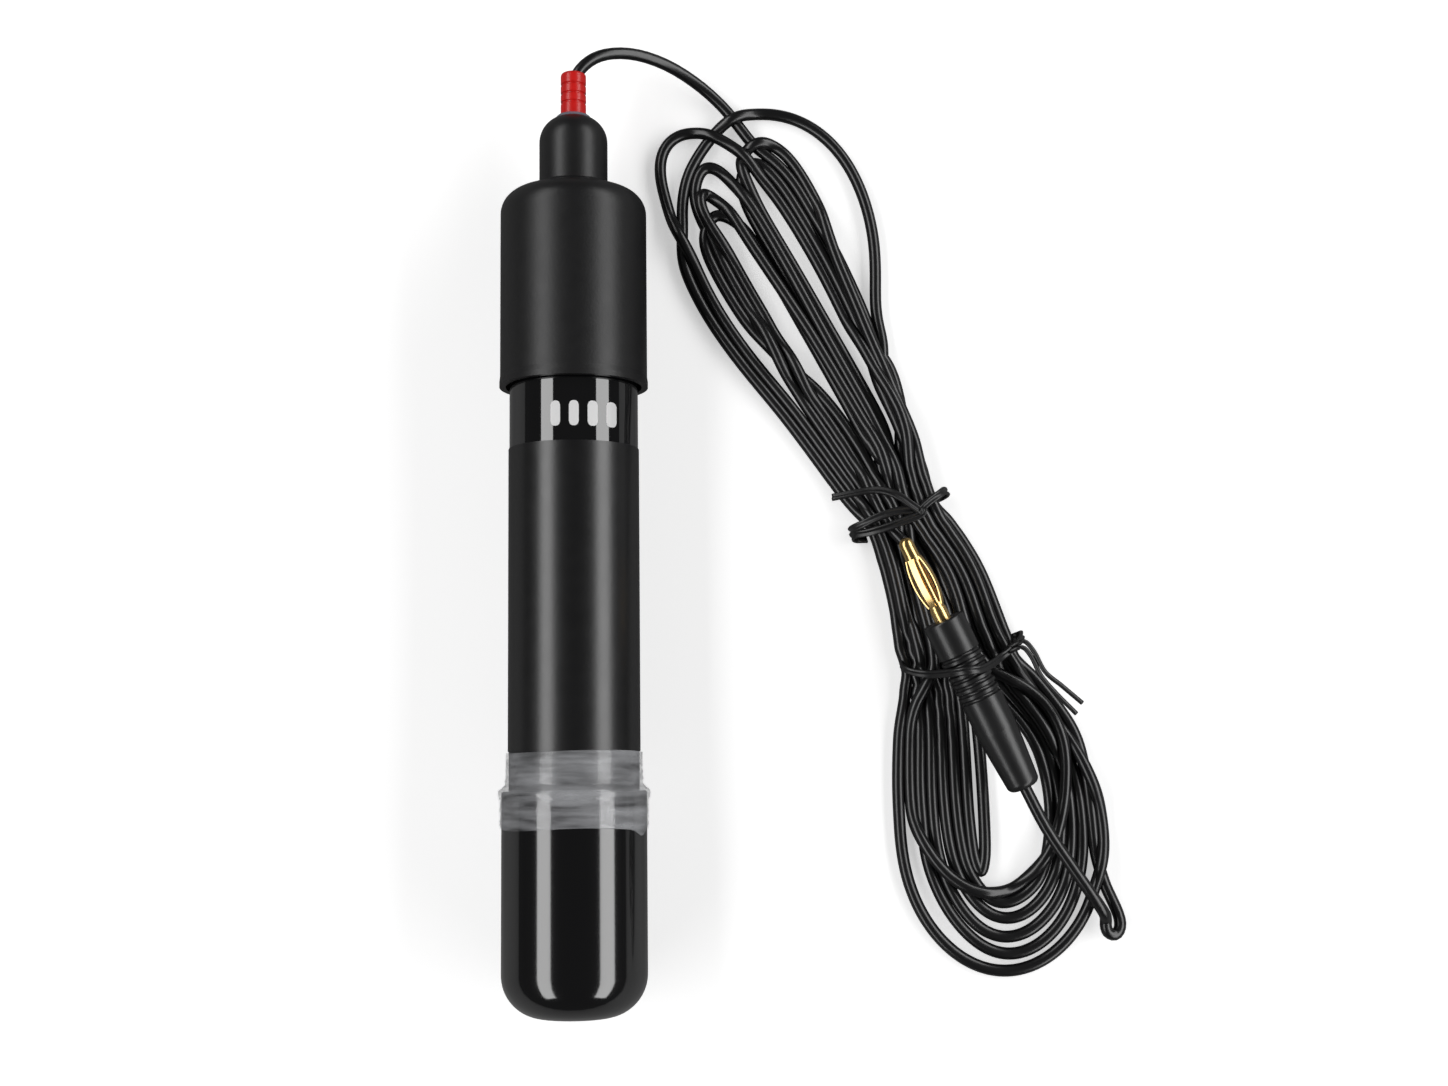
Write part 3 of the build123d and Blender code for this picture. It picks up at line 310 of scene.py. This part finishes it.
def settle(points, held):
    """Lays the lead's turns on the table and on each other, a diameter apart, between the held points."""
    free = ~held
    goal = points[:, :2].copy()
    for _ in range(SMOOTH_ROUNDS):
        middle = (goal[:-2] + goal[2:]) / 2
        goal[1:-1][free[1:-1]] += SMOOTH_SHARE * (middle - goal[1:-1])[free[1:-1]]
    count = len(points)
    index = np.arange(count)
    plug_start = np.array(PLUG_FRONT - PLUG_DIRECTION * HANDLE_LENGTH)
    plug_way = np.array(PLUG_DIRECTION)
    for step in range(SETTLE_STEPS):
        if step % NEAR_STEPS == 0:
            gap = points[:, None, :] - points[None, :, :]
            near = (gap**2).sum(-1) < (CONTACT * NEAR_CONTACTS) ** 2
            first, second = np.nonzero(near & (index[None, :] - index[:, None] > SAME_RUN_POINTS))
            upper_grip, _ = tie_lanes(points, UPPER_TIE, TIE_GRIP_REACH)
            lower_grip, _ = tie_lanes(points, LOWER_TIE, TIE_GRIP_REACH)
            grip = np.maximum(upper_grip, lower_grip)
            yielding = SIDEWAYS + (1 - SIDEWAYS) * grip
        move = np.zeros_like(points)
        share = np.zeros(count)
        gap = points[first] - points[second]
        distance = np.maximum(np.linalg.norm(gap, axis=1), SMALLEST_DISTANCE)
        push = np.clip(CONTACT - distance, 0, None)
        touching = push > 0
        way = gap[touching] / distance[touching, None] * push[touching, None] * 0.5
        np.add.at(move, first[touching], way)
        np.add.at(move, second[touching], -way)
        np.add.at(share, first[touching], 1)
        np.add.at(share, second[touching], 1)
        move /= np.maximum(share, 1)[:, None] ** 0.5
        move[:, :2] *= yielding[:, None]
        inner = points[2:-2]
        bend = points[:-4] - 4 * points[1:-3] + 6 * inner - 4 * points[3:-1] + points[4:]
        move[2:-2] -= STIFFNESS * bend
        move[:, :2] += PULL * (goal - points[:, :2])
        move[:, 2] -= FALL
        points[free] += move[free]
        offset = points - plug_start
        along = np.clip(offset @ plug_way, 0, HANDLE_LENGTH + PIN_LENGTH)
        away = offset - along[:, None] * plug_way
        reach = np.where(along < HANDLE_LENGTH, HANDLE_RADIUS, PIN_RADIUS) + CORD_RADIUS
        distance = np.maximum(np.linalg.norm(away, axis=1), SMALLEST_DISTANCE)
        inside = free & (distance < reach)
        points[inside, 2] -= np.clip(reach - distance, 0, PLUG_STEP)[inside]
        floor = np.full(count, CORD_RADIUS + FLOOR_GAP)
        for tie in (UPPER_TIE, LOWER_TIE):
            held_by, lane = tie_lanes(points, tie, TIE_SHAPE_REACH)
            floor += held_by * TIE_THICKNESS
            limit = tie["half"] - CORD_RADIUS
            over = np.clip(np.abs(lane) - limit, 0, None) * np.sign(lane) * held_by
            side = np.array(across(tie))
            points[free, :2] -= (over[:, None] * side)[free]
            slope = (tie["top"] - tie["side"]) / (tie["half"] - tie["top_half"])
            roof = tie["top"] - slope * np.clip(np.abs(lane) - tie["top_half"], 0, None) - CORD_RADIUS
            high = free & (held_by > TIE_ROOF_HOLD) & (points[:, 2] > roof)
            points[high, 2] -= (TIE_ROOF_SHARE * (points[:, 2] - roof))[high]
        points[free, 2] = np.maximum(points[:, 2], floor)[free]
    return points


# The bevel is a plain factor on each point's own radius, which is the lead's
BEVEL = 1.0
BEVEL_RESOLUTION = 6
CURVE_RESOLUTION = 3


def make_cord():
    """One open curve: the run from the strain relief, the settled turns, the fold and the run to the plug."""
    hank = smooth_line(hank_plan(), SPACING)
    lead = np.array(LEAD_ROUTE)
    tail = np.array(TAIL_ROUTE)
    fold = np.array(FOLD)
    before = smooth_line(lead, SPACING)
    after = smooth_line(np.vstack([fold, tail]), SPACING)
    whole = np.vstack([before, hank, after])
    held = np.ones(len(whole), bool)
    hank_start = len(before)
    hank_end = hank_start + len(hank)
    held[hank_start + HELD_POINTS:hank_end - HELD_POINTS] = False
    whole = settle(whole, held)
    settled = whole[hank_start:hank_end]
    route = np.vstack([lead, settled[1:-1], fold, tail])
    curve = bpy.data.curves.new("lead_cable", "CURVE")
    curve.dimensions = "3D"
    spline = curve.splines.new("NURBS")
    spline.points.add(len(route) - 1)
    for point, place in zip(spline.points, route):
        point.co = (*(place * MM), 1)
        point.radius = CORD_RADIUS * MM / BEVEL
    spline.order_u = 3
    spline.use_endpoint_u = True
    spline.resolution_u = CURVE_RESOLUTION
    curve.resolution_u = CURVE_RESOLUTION
    curve.bevel_depth = BEVEL
    curve.bevel_resolution = BEVEL_RESOLUTION
    curve.use_fill_caps = True
    cable = bpy.data.objects.new("lead_cable", curve)
    bpy.context.scene.collection.objects.link(cable)
    return cable


cable = make_cord()
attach(cable, "electrode")
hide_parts("lead_cord", "cord_hank", "cord_tail")


# Materials: depth in metres of the fine bump, and how roughness wanders about each finish's own
BUMP_DISTANCE = 0.0001
SPECKLE_DETAIL = 4.0
SPECKLE_SIZE = 6
SPECKLE_LOW = 0.88
SPECKLE_HIGH = 1.12
COAT_SHARE = 0.5


def material(name, colour, roughness, specular=0.5, coat=0.0, coat_roughness=0.1, metallic=0.0):
    """A Principled material with plain values, and its node tree and shader to build on."""
    made = bpy.data.materials.new(name)
    made.use_nodes = True
    shader = made.node_tree.nodes["Principled BSDF"]
    shader.inputs["Base Color"].default_value = (*colour, 1)
    shader.inputs["Roughness"].default_value = roughness
    shader.inputs["Specular IOR Level"].default_value = specular
    shader.inputs["Coat Weight"].default_value = coat
    shader.inputs["Coat Roughness"].default_value = coat_roughness
    shader.inputs["Metallic"].default_value = metallic
    return made, made.node_tree, shader


def grain(tree, shader, scale, depth, detail=3.0):
    """Fine bump from noise, in object space."""
    place = tree.nodes.new("ShaderNodeTexCoord")
    noise = tree.nodes.new("ShaderNodeTexNoise")
    noise.inputs["Scale"].default_value = scale
    noise.inputs["Detail"].default_value = detail
    bump = tree.nodes.new("ShaderNodeBump")
    bump.inputs["Strength"].default_value = depth
    bump.inputs["Distance"].default_value = BUMP_DISTANCE
    tree.links.new(place.outputs["Object"], noise.inputs["Vector"])
    tree.links.new(noise.outputs["Fac"], bump.inputs["Height"])
    tree.links.new(bump.outputs["Normal"], shader.inputs["Normal"])


def paint(node, made):
    """Gives a CAD node one material."""
    target = nodes[node]
    target.data.materials.clear()
    target.data.materials.append(made)


def speckle(tree, shader, scale, low, high):
    """Roughness that wanders between two values, from noise in object space."""
    place = tree.nodes.new("ShaderNodeTexCoord")
    noise = tree.nodes.new("ShaderNodeTexNoise")
    noise.inputs["Scale"].default_value = scale
    noise.inputs["Detail"].default_value = SPECKLE_DETAIL
    spread = tree.nodes.new("ShaderNodeMapRange")
    spread.inputs["To Min"].default_value = low
    spread.inputs["To Max"].default_value = high
    tree.links.new(place.outputs["Object"], noise.inputs["Vector"])
    tree.links.new(noise.outputs["Fac"], spread.inputs["Value"])
    tree.links.new(spread.outputs["Result"], shader.inputs["Roughness"])


# Slot: colour, roughness, specular level, coat, metallic, grain scale, grain depth, nodes
FINISHES = {
    "tube_plastic": ((0.005, 0.005, 0.0055), 0.30, 1.0, 0.0, 0.0, 1500, 0.10, ["body_tube"]),
    "label_film": ((0.004, 0.004, 0.0045), 0.06, 1.0, 1.0, 0.0, 60, 0.02, ["label_band"]),
    "head_rubber": ((0.008, 0.008, 0.0085), 0.40, 0.6, 0.0, 0.0, 1800, 0.18, ["head_cap"]),
    "red_rubber": ((0.72, 0.012, 0.010), 0.34, 0.5, 0.2, 0.0, 900, 0.12, ["strain_relief"]),
    "clear_sealant": ((0.20, 0.22, 0.27), 0.16, 0.6, 0.6, 0.0, 300, 0.25, ["seal_bead"]),
    "grey_plastic": ((0.2, 0.2, 0.21), 0.45, 0.5, 0.0, 0.0, 900, 0.12, ["junction_holder"]),
    "porous_ceramic": ((0.72, 0.69, 0.62), 0.85, 0.3, 0.0, 0.0, 1400, 0.9,
                       ["porous_junction", "element_frit"]),
    "seal_rubber": ((0.02, 0.02, 0.02), 0.5, 0.5, 0.0, 0.0, 1200, 0.2,
                    ["junction_o_ring_lower", "junction_o_ring_upper", "tube_stopper", "element_stopper"]),
    "element_glass": ((0.8, 0.83, 0.82), 0.08, 0.5, 0.5, 0.0, 80, 0.03, ["element_tube"]),
    "silver": ((0.82, 0.82, 0.8), 0.2, 0.5, 0.0, 1.0, 900, 0.1, ["silver_wire"]),
    "chloride": ((0.25, 0.22, 0.24), 0.8, 0.3, 0.0, 0.0, 1500, 0.7, ["chloride_coating"]),
    "clear_gel": ((0.75, 0.8, 0.8), 0.1, 0.5, 0.5, 0.0, 120, 0.1, ["element_gel", "electrolyte_gel"]),
    "lead_jacket": ((0.005, 0.005, 0.0055), 0.30, 0.7, 0.25, 0.0, 260, 0.03,
                    ["solder_sleeve", "inner_lead"]),
    "potting_resin": ((0.05, 0.05, 0.055), 0.3, 0.5, 0.0, 0.0, 500, 0.1, ["potting_compound"]),
    "plug_rubber": ((0.009, 0.009, 0.0095), 0.34, 0.8, 0.0, 0.0, 1800, 0.15, ["plug_handle"]),
    "gold": ((0.95, 0.66, 0.27), 0.24, 0.5, 0.0, 1.0, 300, 0.03, ["plug_pin", "plug_springs"]),
    "tie_plastic": ((0.008, 0.008, 0.0085), 0.36, 0.8, 0.0, 0.0, 1200, 0.15, []),
    "cap_vinyl": ((0.0035, 0.0035, 0.004), 0.13, 1.0, 1.0, 0.0, 110, 0.04, ["protective_cap"]),
    "sponge": ((0.75, 0.7, 0.5), 0.9, 0.2, 0.0, 0.0, 1000, 1.0, ["wetting_sponge"]),
}
finishes = {}
for slot, (colour, rough, specular, coat, metallic, scale, depth, painted) in FINISHES.items():
    made, tree, shader = material(slot, colour, rough, specular, coat, COAT_SHARE * rough, metallic)
    grain(tree, shader, scale, depth)
    speckle(tree, shader, scale / SPECKLE_SIZE, rough * SPECKLE_LOW, rough * SPECKLE_HIGH)
    finishes[slot] = made
    for node in painted:
        paint(node, made)
cable.data.materials.append(finishes["lead_jacket"])


def link_mesh(name, vertices, faces, made, smooth=True):
    """A new piece from its vertices and faces, with one material."""
    mesh = bpy.data.meshes.new(name)
    mesh.from_pydata([tuple(v) for v in vertices], [], faces)
    mesh.validate()
    mesh.materials.append(made)
    for polygon in mesh.polygons:
        polygon.use_smooth = smooth
    piece = bpy.data.objects.new(name, mesh)
    bpy.context.scene.collection.objects.link(piece)
    return piece


def on_electrode(radius, angle, y):
    """Point at a radius from the electrode's axis and an angle from straight up, in metres."""
    return Vector((radius * math.sin(angle), y, AXIS_HEIGHT + radius * math.cos(angle))) * MM


# Twist ties: a band with a wire under each edge, swept round the bundle with its flat side outwards
BAND_SECTION = [
    (-0.85, -0.3), (-0.85, 0.1), (-0.66, 0.38), (-0.42, 0.34), (-0.2, 0.06), (0.2, 0.06), (0.42, 0.34),
    (0.66, 0.38), (0.85, 0.1), (0.85, -0.3),
]
WIRE_RADIUS = 0.5
WIRE_STEP = 30
WIRE_ANGLES = [math.radians(angle) for angle in range(0, 360, WIRE_STEP)]
WIRE_SECTION = [(WIRE_RADIUS * math.cos(angle), WIRE_RADIUS * math.sin(angle)) for angle in WIRE_ANGLES]
SWEEP_SPACING = 0.6


def swept(points, section, centre, vertices, faces):
    """A closed section swept along smooth points, its second axis turned away from a centre line."""
    line = smooth_line(np.array(points, float), SWEEP_SPACING)
    base = len(vertices)
    sides = len(section)
    ways = np.gradient(line, axis=0)
    for place, way in zip(line, ways):
        way = Vector(way).normalized()
        outward = Vector(place) - Vector(centre)
        outward = (outward - outward.dot(way) * way).normalized()
        side = way.cross(outward)
        for sideways, out in section:
            vertices.append((Vector(place) + sideways * side + out * outward) * MM)
    for ring in range(len(line) - 1):
        for k in range(sides):
            a = base + ring * sides + k
            b = base + ring * sides + (k + 1) % sides
            faces.append((a, b, b + sides, a + sides))
    faces.append(tuple(base + k for k in reversed(range(sides))))
    last = base + (len(line) - 1) * sides
    faces.append(tuple(last + k for k in range(sides)))


def make_tie(name, centre, bands, wires):
    """A twist tie from the lines of its flat bands and bare wires, which face away from a centre."""
    vertices = []
    faces = []
    for points in bands:
        swept(points, BAND_SECTION, centre, vertices, faces)
    for points in wires:
        swept(points, WIRE_SECTION, centre, vertices, faces)
    piece = link_mesh(name + "_band", vertices, faces, finishes["tie_plastic"])
    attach(piece, "electrode")
    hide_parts(name)


make_tie(
    "tie_upper",
    (67.5, 4.6, 4.2),
    [
        [
            (60.5, 1.2, 0.6), (58.0, 1.0, 1.2), (57.2, 1.1, 3.0), (57.5, 1.3, 6.0), (59.9, 2.2, 8.0),
            (63.0, 3.5, 9.0), (66.1, 4.4, 9.4), (68.8, 4.7, 9.6), (71.2, 5.0, 9.4),
        ],
        [
            (60.8, -0.4, 0.6), (58.2, -0.4, 1.4), (57.6, 0.1, 5.0), (61.0, 0.4, 7.5), (65.0, 1.4, 8.8),
            (68.1, 2.5, 9.3), (70.8, 3.4, 9.6), (72.0, 4.2, 9.9), (71.9, 5.1, 9.8),
        ],
        [
            (71.0, 4.5, 9.3), (73.4, 6.6, 8.9), (75.7, 8.2, 8.0), (76.9, 9.2, 6.0), (77.7, 9.1, 3.0),
            (76.8, 8.6, 1.0), (74.5, 7.6, 0.6), (68.0, 4.6, 0.6), (60.5, 1.0, 0.6),
        ],
        [
            (71.6, 4.2, 9.9), (69.6, 5.6, 10.3), (67.7, 7.0, 10.4), (65.5, 8.2, 10.2), (63.1, 8.9, 9.6),
            (60.6, 8.9, 9.0), (57.9, 8.5, 8.6), (55.3, 8.1, 8.0), (53.2, 7.8, 7.4),
        ],
    ],
    [],
)
make_tie(
    "tie_lower",
    (79.5, -26.0, 6.0),
    [
        [
            (75.0, -26.9, 0.6), (69.0, -26.9, 0.7), (67.6, -26.9, 1.6), (67.3, -27.0, 3.4),
            (67.8, -28.0, 5.5), (69.8, -28.9, 6.9), (72.7, -29.4, 9.0), (74.6, -29.5, 12.6),
            (76.4, -29.5, 16.3), (79.3, -29.2, 17.9), (82.4, -28.8, 16.6), (84.9, -27.6, 13.0),
            (87.2, -26.1, 9.6), (89.5, -24.4, 8.2), (91.6, -22.6, 6.6), (92.6, -21.0, 3.6),
            (92.2, -21.0, 1.4), (90.6, -21.6, 0.7), (84.0, -24.2, 0.6), (75.0, -26.9, 0.6),
        ],
    ],
    [
        [
            (89.0, -24.0, 8.0), (90.4, -23.4, 8.9), (92.2, -22.8, 9.2), (94.1, -25.0, 9.3),
            (96.3, -29.1, 9.0), (99.8, -32.0, 8.3), (104.0, -35.5, 7.4),
        ],
        [
            (89.0, -24.9, 8.2), (90.2, -24.4, 9.0), (91.9, -24.1, 9.4), (93.6, -26.2, 9.4),
            (95.4, -29.9, 9.2), (98.6, -33.6, 8.4), (102.7, -37.7, 7.6),
        ],
    ],
)


# Sealing film: wound clear film with a ridge, gathers and a torn flap, from the cap's side to the tube's
FILM_PROFILE = [
    (-59.8, 14.72), (-58.6, 14.80), (-57.6, 14.76), (-56.2, 14.84), (-55.4, 14.78), (-54.2, 14.86),
    (-53.6, 15.12), (-52.9, 15.22), (-52.2, 15.12), (-51.6, 14.3), (-51.0, 13.74), (-49.6, 13.66),
    (-47.0, 13.62), (-44.6, 13.60),
]
# Gathers: place along Y, tilt, phase, height and half width
GATHERS = [
    (-45.0, 0.25, 0.4, 0.16, 0.28), (-48.3, 0.55, 2.0, 0.20, 0.22), (-50.1, 0.35, 1.2, 0.24, 0.24),
    (-51.3, 0.30, 4.4, 0.22, 0.22), (-55.6, 0.30, 0.8, 0.22, 0.25), (-56.9, 0.45, 3.1, 0.18, 0.22),
    (-58.0, 0.25, 5.2, 0.16, 0.22), (-59.0, 0.35, 1.9, 0.14, 0.20),
]
FILM_AROUND = 220
FILM_ALONG = 64
FILM_WALL = 0.14
FLAP_MIDDLE = 68.0
FLAP_REACH = 1.2
FLAP_WIDTH = 9
LOW_EDGE_WAVE = 0.25
HIGH_EDGE_WAVE = 0.2
GATHER_WAVE = 0.15
GATHER_EVEN = 0.6
GATHER_VARIED = 0.4

# Film's look: colour, roughness, bump, and patches that are more or less see-through
FILM_COLOUR = (0.80, 0.81, 0.84)
FILM_ROUGHNESS = 0.22
FILM_GRAIN_SCALE = 260
FILM_GRAIN_DEPTH = 0.35
FILM_DETAIL = 5.0
FILM_PATCH_SCALE = (60, 420, 60)
FILM_PATCH_RANGE = (0.3, 0.75)
FILM_ALPHA_RANGE = (0.04, 0.42)


def film_look():
    """Clear film that is more opaque in patches stretched round the tube."""
    made, tree, shader = material("clear_film", FILM_COLOUR, FILM_ROUGHNESS, 1.0, 1.0)
    grain(tree, shader, FILM_GRAIN_SCALE, FILM_GRAIN_DEPTH, FILM_DETAIL)
    place = tree.nodes.new("ShaderNodeTexCoord")
    stretch = tree.nodes.new("ShaderNodeMapping")
    stretch.inputs["Scale"].default_value = FILM_PATCH_SCALE
    noise = tree.nodes.new("ShaderNodeTexNoise")
    noise.inputs["Scale"].default_value = 1.0
    noise.inputs["Detail"].default_value = FILM_DETAIL
    veil = tree.nodes.new("ShaderNodeMapRange")
    veil.inputs["From Min"].default_value = FILM_PATCH_RANGE[0]
    veil.inputs["From Max"].default_value = FILM_PATCH_RANGE[1]
    veil.inputs["To Min"].default_value = FILM_ALPHA_RANGE[0]
    veil.inputs["To Max"].default_value = FILM_ALPHA_RANGE[1]
    tree.links.new(place.outputs["Object"], stretch.inputs["Vector"])
    tree.links.new(stretch.outputs["Vector"], noise.inputs["Vector"])
    tree.links.new(noise.outputs["Fac"], veil.inputs["Value"])
    tree.links.new(veil.outputs["Result"], shader.inputs["Alpha"])
    return made


def make_film():
    """Outer and inner skin of the wound film, closed at both edges."""
    stations = np.array([y for y, _ in FILM_PROFILE])
    radii = np.array([radius for _, radius in FILM_PROFILE])
    vertices = []
    for layer in (FILM_WALL, 0.0):
        for ring in range(FILM_ALONG + 1):
            share = ring / FILM_ALONG
            for k in range(FILM_AROUND):
                angle = 2 * math.pi * k / FILM_AROUND
                flap = FLAP_REACH * math.exp(-(((math.degrees(angle) - FLAP_MIDDLE) / FLAP_WIDTH) ** 2))
                low = stations[0] + LOW_EDGE_WAVE * math.sin(3 * angle + 1) - flap
                high = stations[-1] + HIGH_EDGE_WAVE * math.sin(2 * angle + 0.5)
                y = low + (high - low) * share
                radius = float(np.interp(y, stations, radii))
                for middle, tilt, phase, height, half in GATHERS:
                    wave = GATHER_WAVE * math.sin(3 * angle + 2 * phase)
                    centre = middle + tilt * math.sin(angle + phase) + wave
                    strength = height * (GATHER_EVEN + GATHER_VARIED * math.sin(2 * angle + 3 * phase))
                    radius += strength * math.exp(-(((y - centre) / half) ** 2))
                radius += layer
                vertices.append(on_electrode(radius, angle, y))
    faces = []
    inner = (FILM_ALONG + 1) * FILM_AROUND
    for ring in range(FILM_ALONG):
        for k in range(FILM_AROUND):
            a = ring * FILM_AROUND + k
            b = ring * FILM_AROUND + (k + 1) % FILM_AROUND
            faces.append((a, b, b + FILM_AROUND, a + FILM_AROUND))
            faces.append((inner + a, inner + a + FILM_AROUND, inner + b + FILM_AROUND, inner + b))
    top = FILM_ALONG * FILM_AROUND
    for k in range(FILM_AROUND):
        b = (k + 1) % FILM_AROUND
        faces.append((k, inner + k, inner + b, b))
        faces.append((top + k, top + b, inner + top + b, inner + top + k))
    piece = link_mesh("wound_film", vertices, faces, film_look())
    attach(piece, "cap")
    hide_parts("sealing_film")


make_film()


# Label marks: four plain upright bars with rounded ends on the band
LABEL_RADIUS = 13.15
MARK_WALL = 0.05
BAR_LEFTS = (-3.7, 0.0, 3.7, 7.3)
BAR_WIDTH = 1.95
BAR_BOTTOM = 19.8
BAR_TOP = 24.9
BAR_CORNER = 0.9
BAR_COLUMNS = 10
MARK_COLOUR = (0.85, 0.85, 0.85)
MARK_ROUGHNESS = 0.35
MARK_GRAIN_SCALE = 900
MARK_GRAIN_DEPTH = 0.1


def mark(left, width, bottom, top, corner, vertices, faces):
    """Thin plate with rounded ends that lies on the label band."""
    base = len(vertices)
    for k in range(BAR_COLUMNS + 1):
        x = left + width * k / BAR_COLUMNS
        inset = min(x - left, left + width - x)
        cut = corner - math.sqrt(max(corner**2 - max(corner - inset, 0) ** 2, 0))
        angle = math.asin(x / LABEL_RADIUS)
        for radius in (LABEL_RADIUS + MARK_WALL, LABEL_RADIUS - MARK_WALL):
            for y in (bottom + cut, top - cut):
                vertices.append(on_electrode(radius, angle, y))
    for k in range(BAR_COLUMNS):
        a = base + 4 * k
        b = a + 4
        faces.append((a, b, b + 1, a + 1))
        faces.append((a + 2, a + 3, b + 3, b + 2))
        faces.append((a, a + 2, b + 2, b))
        faces.append((a + 1, b + 1, b + 3, a + 3))
    faces.append((base, base + 1, base + 3, base + 2))
    end = base + 4 * BAR_COLUMNS
    faces.append((end, end + 2, end + 3, end + 1))


def make_marks():
    made, tree, shader = material("print_white", MARK_COLOUR, MARK_ROUGHNESS)
    grain(tree, shader, MARK_GRAIN_SCALE, MARK_GRAIN_DEPTH)
    vertices = []
    faces = []
    for left in BAR_LEFTS:
        mark(left, BAR_WIDTH, BAR_BOTTOM, BAR_TOP, BAR_CORNER, vertices, faces)
    piece = link_mesh("label_marks", vertices, faces, made, smooth=False)
    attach(piece, "electrode")


make_marks()


# Floor, lamps and world: what the camera sees of them is brighter than what lights the object
FLOOR_SIZE = 4.0
FLOOR_DROP = 0.0002
FLOOR_COLOUR = (0.9, 0.9, 0.9)
FLOOR_ROUGHNESS = 0.6
FLOOR_SPECULAR = 0.1
FLOOR_LIFT = 0.5
FLOOR_BRIGHT = 0.9
FLOOR_DIM = 0.22
WORLD_FILL = 0.04
WORLD_SEEN = 1.0

# Lamps: angle from straight up and half the angle that each is wide, in degrees
LAMPS = {"strip_left": (-43, 11), "strip_right": (55, 12)}
LAMP_DISTANCE = 0.55
LAMP_LENGTH = 1.4
LAMP_RADIANCE = 3.2


def by_camera(tree, otherwise, seen):
    """A value that is one number for camera rays and another for the rest."""
    path = tree.nodes.new("ShaderNodeLightPath")
    level = tree.nodes.new("ShaderNodeMapRange")
    level.inputs["To Min"].default_value = otherwise
    level.inputs["To Max"].default_value = seen
    tree.links.new(path.outputs["Is Camera Ray"], level.inputs["Value"])
    return level.outputs["Result"]


def make_floor():
    bpy.ops.mesh.primitive_plane_add(size=FLOOR_SIZE, location=(0, 0, -FLOOR_DROP))
    floor = bpy.context.object
    floor.name = "floor"
    made, tree, shader = material("floor_white", FLOOR_COLOUR, FLOOR_ROUGHNESS, FLOOR_SPECULAR)
    shader.inputs["Emission Color"].default_value = (1, 1, 1, 1)
    tree.links.new(by_camera(tree, 0.0, FLOOR_LIFT), shader.inputs["Emission Strength"])
    tree.links.new(by_camera(tree, FLOOR_DIM, FLOOR_BRIGHT), shader.inputs["Base Color"])
    floor.data.materials.append(made)


def strip_light(name, angle, half_angle):
    """Long lamp along Y that a ray from the electrode meets at an angle from straight up."""
    data = bpy.data.lights.new(name, "AREA")
    data.shape = "RECTANGLE"
    data.size = 2 * LAMP_DISTANCE * math.tan(math.radians(half_angle))
    data.size_y = LAMP_LENGTH
    data.energy = LAMP_RADIANCE * math.pi * data.size * data.size_y
    lamp = bpy.data.objects.new(name, data)
    bpy.context.scene.collection.objects.link(lamp)
    turn = math.radians(angle)
    lamp.location = (LAMP_DISTANCE * math.sin(turn), 0, LAMP_DISTANCE * math.cos(turn))
    lamp.rotation_euler = (0, turn, 0)


make_floor()
world = bpy.data.worlds.new("world")
bpy.context.scene.world = world
world.use_nodes = True
background = world.node_tree.nodes["Background"]
background.inputs["Color"].default_value = (1, 1, 1, 1)
brightness = by_camera(world.node_tree, WORLD_FILL, WORLD_SEEN)
world.node_tree.links.new(brightness, background.inputs["Strength"])
for lamp_name, (lamp_angle, lamp_half_angle) in LAMPS.items():
    strip_light(lamp_name, lamp_angle, lamp_half_angle)

bpy.context.scene.view_settings.view_transform = "Standard"

bpy.context.view_layer.update()
